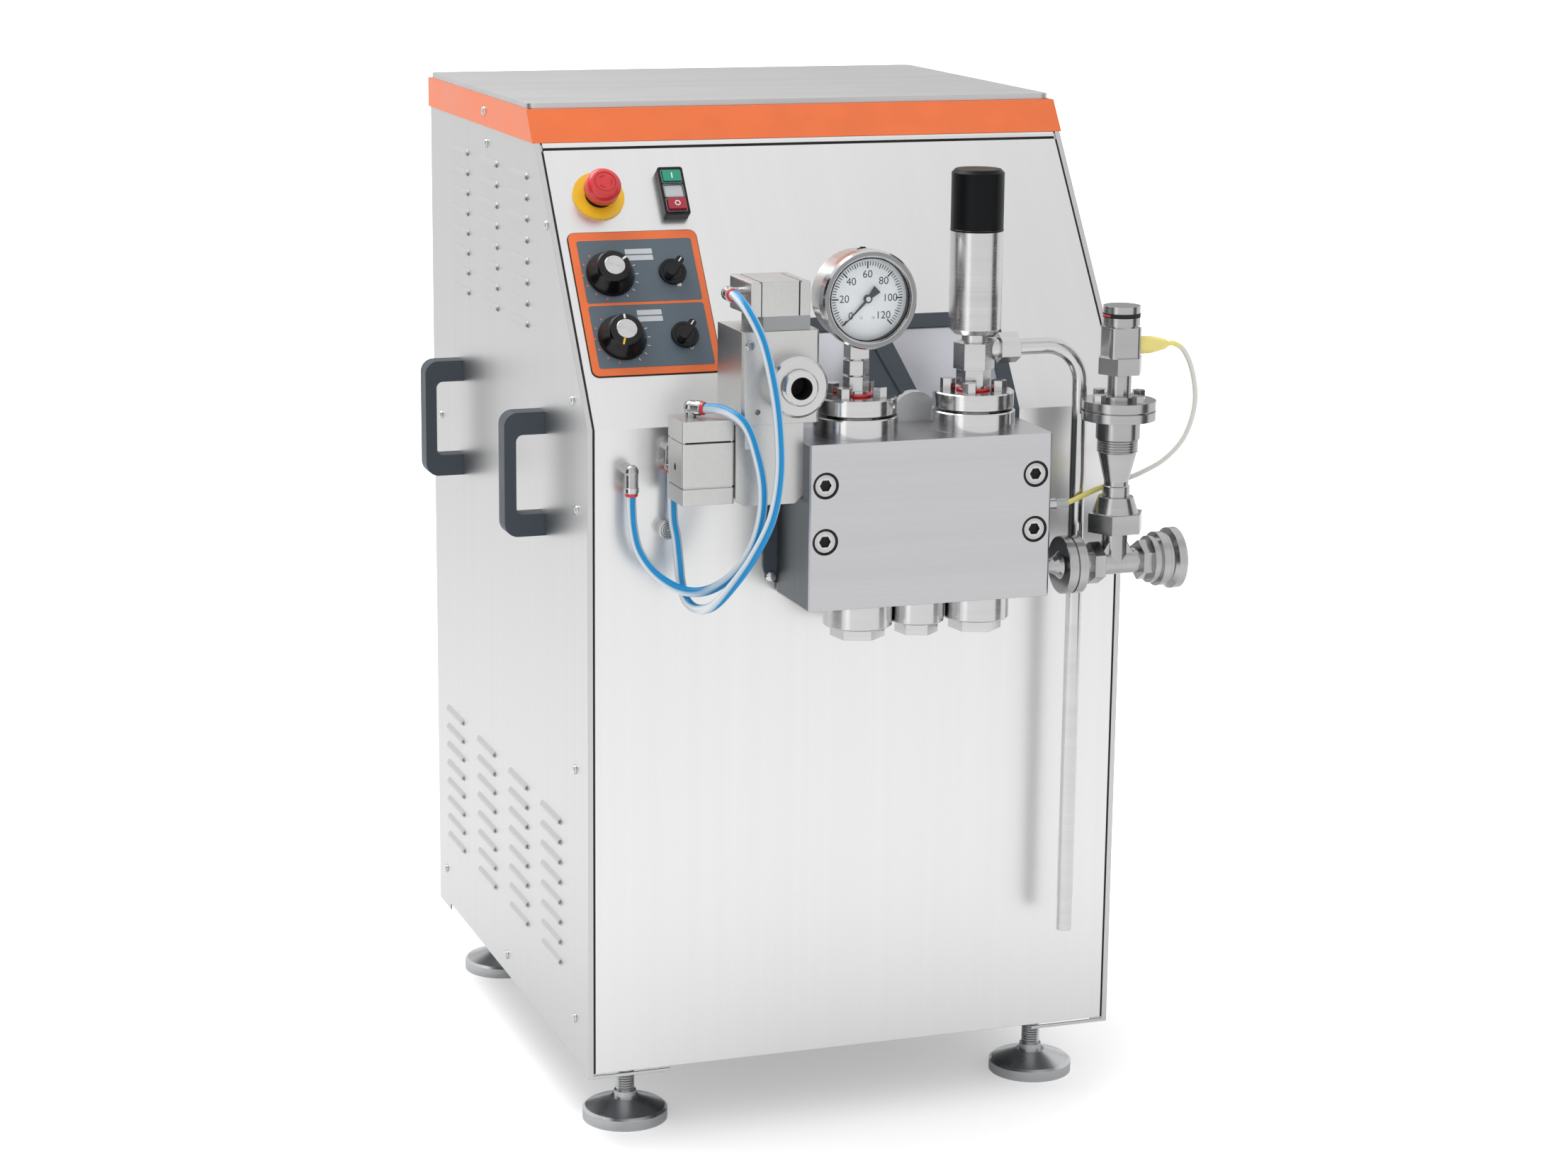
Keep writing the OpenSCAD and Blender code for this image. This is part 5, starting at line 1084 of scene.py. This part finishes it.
class HOMOGENIZER_OT_pump_trim(bpy.types.Operator):
    """Fit the block's gaskets, screw trim and end plates, and the valve's and vent knob's small pieces,
    with painted shade in recesses, slits and grooves and on the block's ends
    """

    bl_idname = "homogenizer.pump_trim"
    bl_label = "Pump head trim"

    def execute(self, context):
        outer = context.scene.homogenizer_sizes.gasket_r / MM
        gasket = turned(ring(14.02, outer, 0, 2.8, 0.9), 48)
        settle(repeat(gasket, [on_top(x, COVER_Y, COVER_TOP) for x in COVER_XS]),
               "cover_gaskets", "red plastic")
        faces = [on_front(x, z, BLOCK_OUT) for x, z in BLOCK_SCREWS]
        # Dark liners in the screw counterbores are painted shade in the recesses.
        settle(repeat(turned(ring(12.05, 14.95, -16.9, -1.6, 0.2), 40), faces),
               "counterbore_shades", "gap black")
        teeth = [face @ turn(360 / BLOCK_KNURLS * i) @ shift(10.3, 0, -1.0)
                 for face in faces for i in range(BLOCK_KNURLS)]
        settle(repeat(plate(2.6, 0.8, 0.3, 0.2), teeth), "head_knurls", "foot metal")
        # Dark floors in the screw sockets are painted shade.
        hexagon = turned([(0, -8.9), (6.8, -8.9), (6.8, -6.2), (4.5, -6.8), (0, -7.2)], 6)
        settle(repeat(hexagon, faces), "socket_shades", "gap black")
        settle(turned(ring(29.0, 29.85, -2.2, 0, 0.4), 64), "relief_seam", "satin black",
               on_top(COVER_XS[1], COVER_Y, RELIEF_SEAM_Z))
        # The block's end faces get dark steel plates as painted shade.
        ends = [facing(x, BLOCK_MID_Y, BLOCK_MID_Z, (side, 0, 0)) for x, side in BLOCK_ENDS]
        settle(repeat(plate(102, 184, 0.3), ends), "block_sides", "milled steel")
        knob = on_front(*VENT_KNOB)
        # Dark rings on the vent knob's face are painted shade in its grooves.
        rings = [place(turned(ring(r, r + 0.6, 0, 0.12, 0.03), 32), knob) for r in (2.4, 5.0, 7.6)]
        settle(unite(rings), "vent_knob_rings", "gap black", body="vent_screw")
        outlet = on_front(*OUTLET)
        settle(turned(threads(18.6, 19.05, 19.9, 19, 29, 2), 48),
               "outlet_thread", "outlet steel", outlet)
        # A dark cup in the outlet's bore is painted shade.
        cup = [(12.45, 29.6), (12.45, 2), (0, 2), (0, 2.6), (11.9, 2.6), (11.9, 29.6), (12.45, 29.6)]
        settle(turned(cup, 40), "outlet_bore_shade", "gap black", outlet)
        band = [place(plate(54.2, 15.8, 0.5), on_front(-125, CYLINDER_BAND_Z, VALVE_OUT)),
                place(plate(72, 15.8, 0.5), facing(-152, -52, CYLINDER_BAND_Z, (-1, 0, 0)))]
        settle(unite(band), "cylinder_band", "rough alloy")
        # Dark strips on the valve's slits and joints are painted shade.
        slits = [place(plate(w, 37.5, 0.2), on_front(x, CYLINDER_SLIT_Z, VALVE_OUT))
                 for w, x in ((1.6, -110.4), (1.0, -154))]
        slits.append(place(plate(52, 1.6, 0.2), on_front(-212, 832, 82.2)))
        settle(unite(slits), "cylinder_slit_shades", "gap black")
        settle(plate(14, 25, 0.5, 2.5, 0.15), "bare_plate", "label plate", on_front(*BARE_PLATE))
        bolt = turned([(0, 0), (5.5, 0), (5.5, 4.4), (4.7, 5.2), (0, 5.2)], 6)
        settle(bolt, "valve_bolt", "polished steel", on_front(*VALVE_BOLT))
        return {"FINISHED"}


FITTING_ENDS = (
    (AIR_TUBE_1[0], (0, 0, -1)), (AIR_TUBE_2[-1], (0, 0, -1)),
    (AIR_TUBE_1[-1], (1, -1, 0)), (AIR_TUBE_2[0], (0, -1, 0)),
)


class HOMOGENIZER_OT_fittings(bpy.types.Operator):
    """Fit the collets and collars of the air fittings"""

    bl_idname = "homogenizer.fittings"
    bl_label = "Air fittings"

    def execute(self, context):
        ends = [facing(*at, direction) for at, direction in FITTING_ENDS]
        settle(repeat(turned(ring(5.55, 7.3, -0.5, 3.4, 0.6), 32), ends), "tube_collets", "red plastic")
        settle(repeat(turned(ring(7.2, 8.3, -6.5, -0.6, 0.5), 32), ends),
               "fitting_collars", "polished steel")
        return {"FINISHED"}


class HOMOGENIZER_OT_foot_threads(bpy.types.Operator):
    """Cut the threads of the feet's spindles"""

    bl_idname = "homogenizer.foot_threads"
    bl_label = "Foot threads"

    def execute(self, context):
        pitch = context.scene.homogenizer_sizes.thread_pitch / MM
        for x, y, name in FEET:
            settle(turned(threads(9.6, 10.05, 11.0, 35, 85, pitch), 32),
                   name + "_thread", "foot metal", on_top(x, y, 0), name + "_support")
        return {"FINISHED"}


class HOMOGENIZER_OT_cabinet_trim(bpy.types.Operator):
    """Fit the strip under the band, dark strips of painted shade in the gaps and the screws' domes"""

    bl_idname = "homogenizer.cabinet_trim"
    bl_label = "Cabinet trim"

    def execute(self, context):
        settle(plate(2 * HALF_PANEL, 6.2, 1.6, 0.5, 0.4),
               "band_strip", "sheet steel", on_slope(*BAND_STRIP))
        # A dark strip under the band is painted shade in its gap.
        settle(plate(2 * HALF_PANEL, 3.6, 0.6), "band_gap_shade", "gap black", on_slope(*BAND_GAP))
        # Dark strips in the front panel's side gaps are painted shade.
        gap_shades, gap_shade_w, gap_shade_t, sunk = [], 2.6, 0.8, -1.8
        for side in (-1, 1):
            x = side * (HALF_PANEL + 1.25)
            gap_shades.append(place(plate(gap_shade_w, 750, gap_shade_t), on_front(x, SKIRT_Z + 381, sunk)))
            gap_shades.append(place(plate(gap_shade_w, PANEL_TOP_S, gap_shade_t), on_slope(x, PANEL_TOP_S / 2, sunk)))
        settle(unite(gap_shades), "gap_shade_strips", "gap black")
        dome = turned([(0, 0), (5.6, 0), (5.6, 0.8), (4.6, 2.3), (2.6, 3.2), (0, 3.5)], 20)
        spots = [facing(side * SIDE_X, y, z, (side, 0, 0)) for side in (-1, 1) for y, z in SIDE_SCREWS]
        spots += [facing(side * BAND_X, *BAND_SCREW, (side, 0, 0)) for side in (-1, 1)]
        settle(repeat(dome, spots), "screw_domes", "polished steel")
        screw = turned([(0, 0), (6, 0), (6, 1), (5, 2.4), (3, 3.2), (0, 3.5)], 24)
        settle(screw, "trim_screw", "polished steel", on_front(*TRIM_SCREW))
        return {"FINISHED"}


class HOMOGENIZER_OT_sensor_trim(bpy.types.Operator):
    """Fit the sensor's window ring and marker"""

    bl_idname = "homogenizer.sensor_trim"
    bl_label = "Sensor trim"

    def execute(self, context):
        cap = on_top(RISER_X, INLET_Y, SENSOR_CAP_Z)
        # The dark ring in the cap's window is painted shade.
        settle(turned(ring(20.5, 21.3, 9, 14, 0.2), 48), "sensor_window", "gap black", cap)
        settle(turned(ring(20.8, 21.6, 10.2, 12.4, 0.2), 20, 110),
               "sensor_marker", "red plastic", cap @ turn(-150))
        return {"FINISHED"}


class HOMOGENIZER_PT_panel(bpy.types.Panel):
    """Lists the steps that dress the machine"""

    bl_label = "Homogenizer"
    bl_idname = "HOMOGENIZER_PT_panel"
    bl_space_type = "VIEW_3D"
    bl_region_type = "UI"
    bl_category = "Homogenizer"

    def draw(self, context):
        for step in STEPS:
            self.layout.operator(step.bl_idname)
        for group in (context.scene.homogenizer_sizes, context.scene.homogenizer_colours):
            box = self.layout.box()
            for name in group.__annotations__:
                box.prop(group, name)


STEPS = (
    HOMOGENIZER_OT_stage,
    HOMOGENIZER_OT_lines,
    HOMOGENIZER_OT_finishes,
    HOMOGENIZER_OT_gauge,
    HOMOGENIZER_OT_controls,
    HOMOGENIZER_OT_buttons,
    HOMOGENIZER_OT_pump_trim,
    HOMOGENIZER_OT_fittings,
    HOMOGENIZER_OT_foot_threads,
    HOMOGENIZER_OT_cabinet_trim,
    HOMOGENIZER_OT_sensor_trim,
)
CLASSES = (HomogenizerSizes, HomogenizerColours, *STEPS, HOMOGENIZER_PT_panel)


def register():
    for cls in CLASSES:
        bpy.utils.register_class(cls)
    bpy.types.Scene.homogenizer_sizes = bpy.props.PointerProperty(type=HomogenizerSizes)
    bpy.types.Scene.homogenizer_colours = bpy.props.PointerProperty(type=HomogenizerColours)


def unregister():
    del bpy.types.Scene.homogenizer_sizes
    del bpy.types.Scene.homogenizer_colours
    for cls in reversed(CLASSES):
        bpy.utils.unregister_class(cls)


def main():
    register()
    for step in STEPS:
        group, name = step.bl_idname.split(".")
        getattr(getattr(bpy.ops, group), name)()
    begin()


if __name__ == "__main__":
    main()
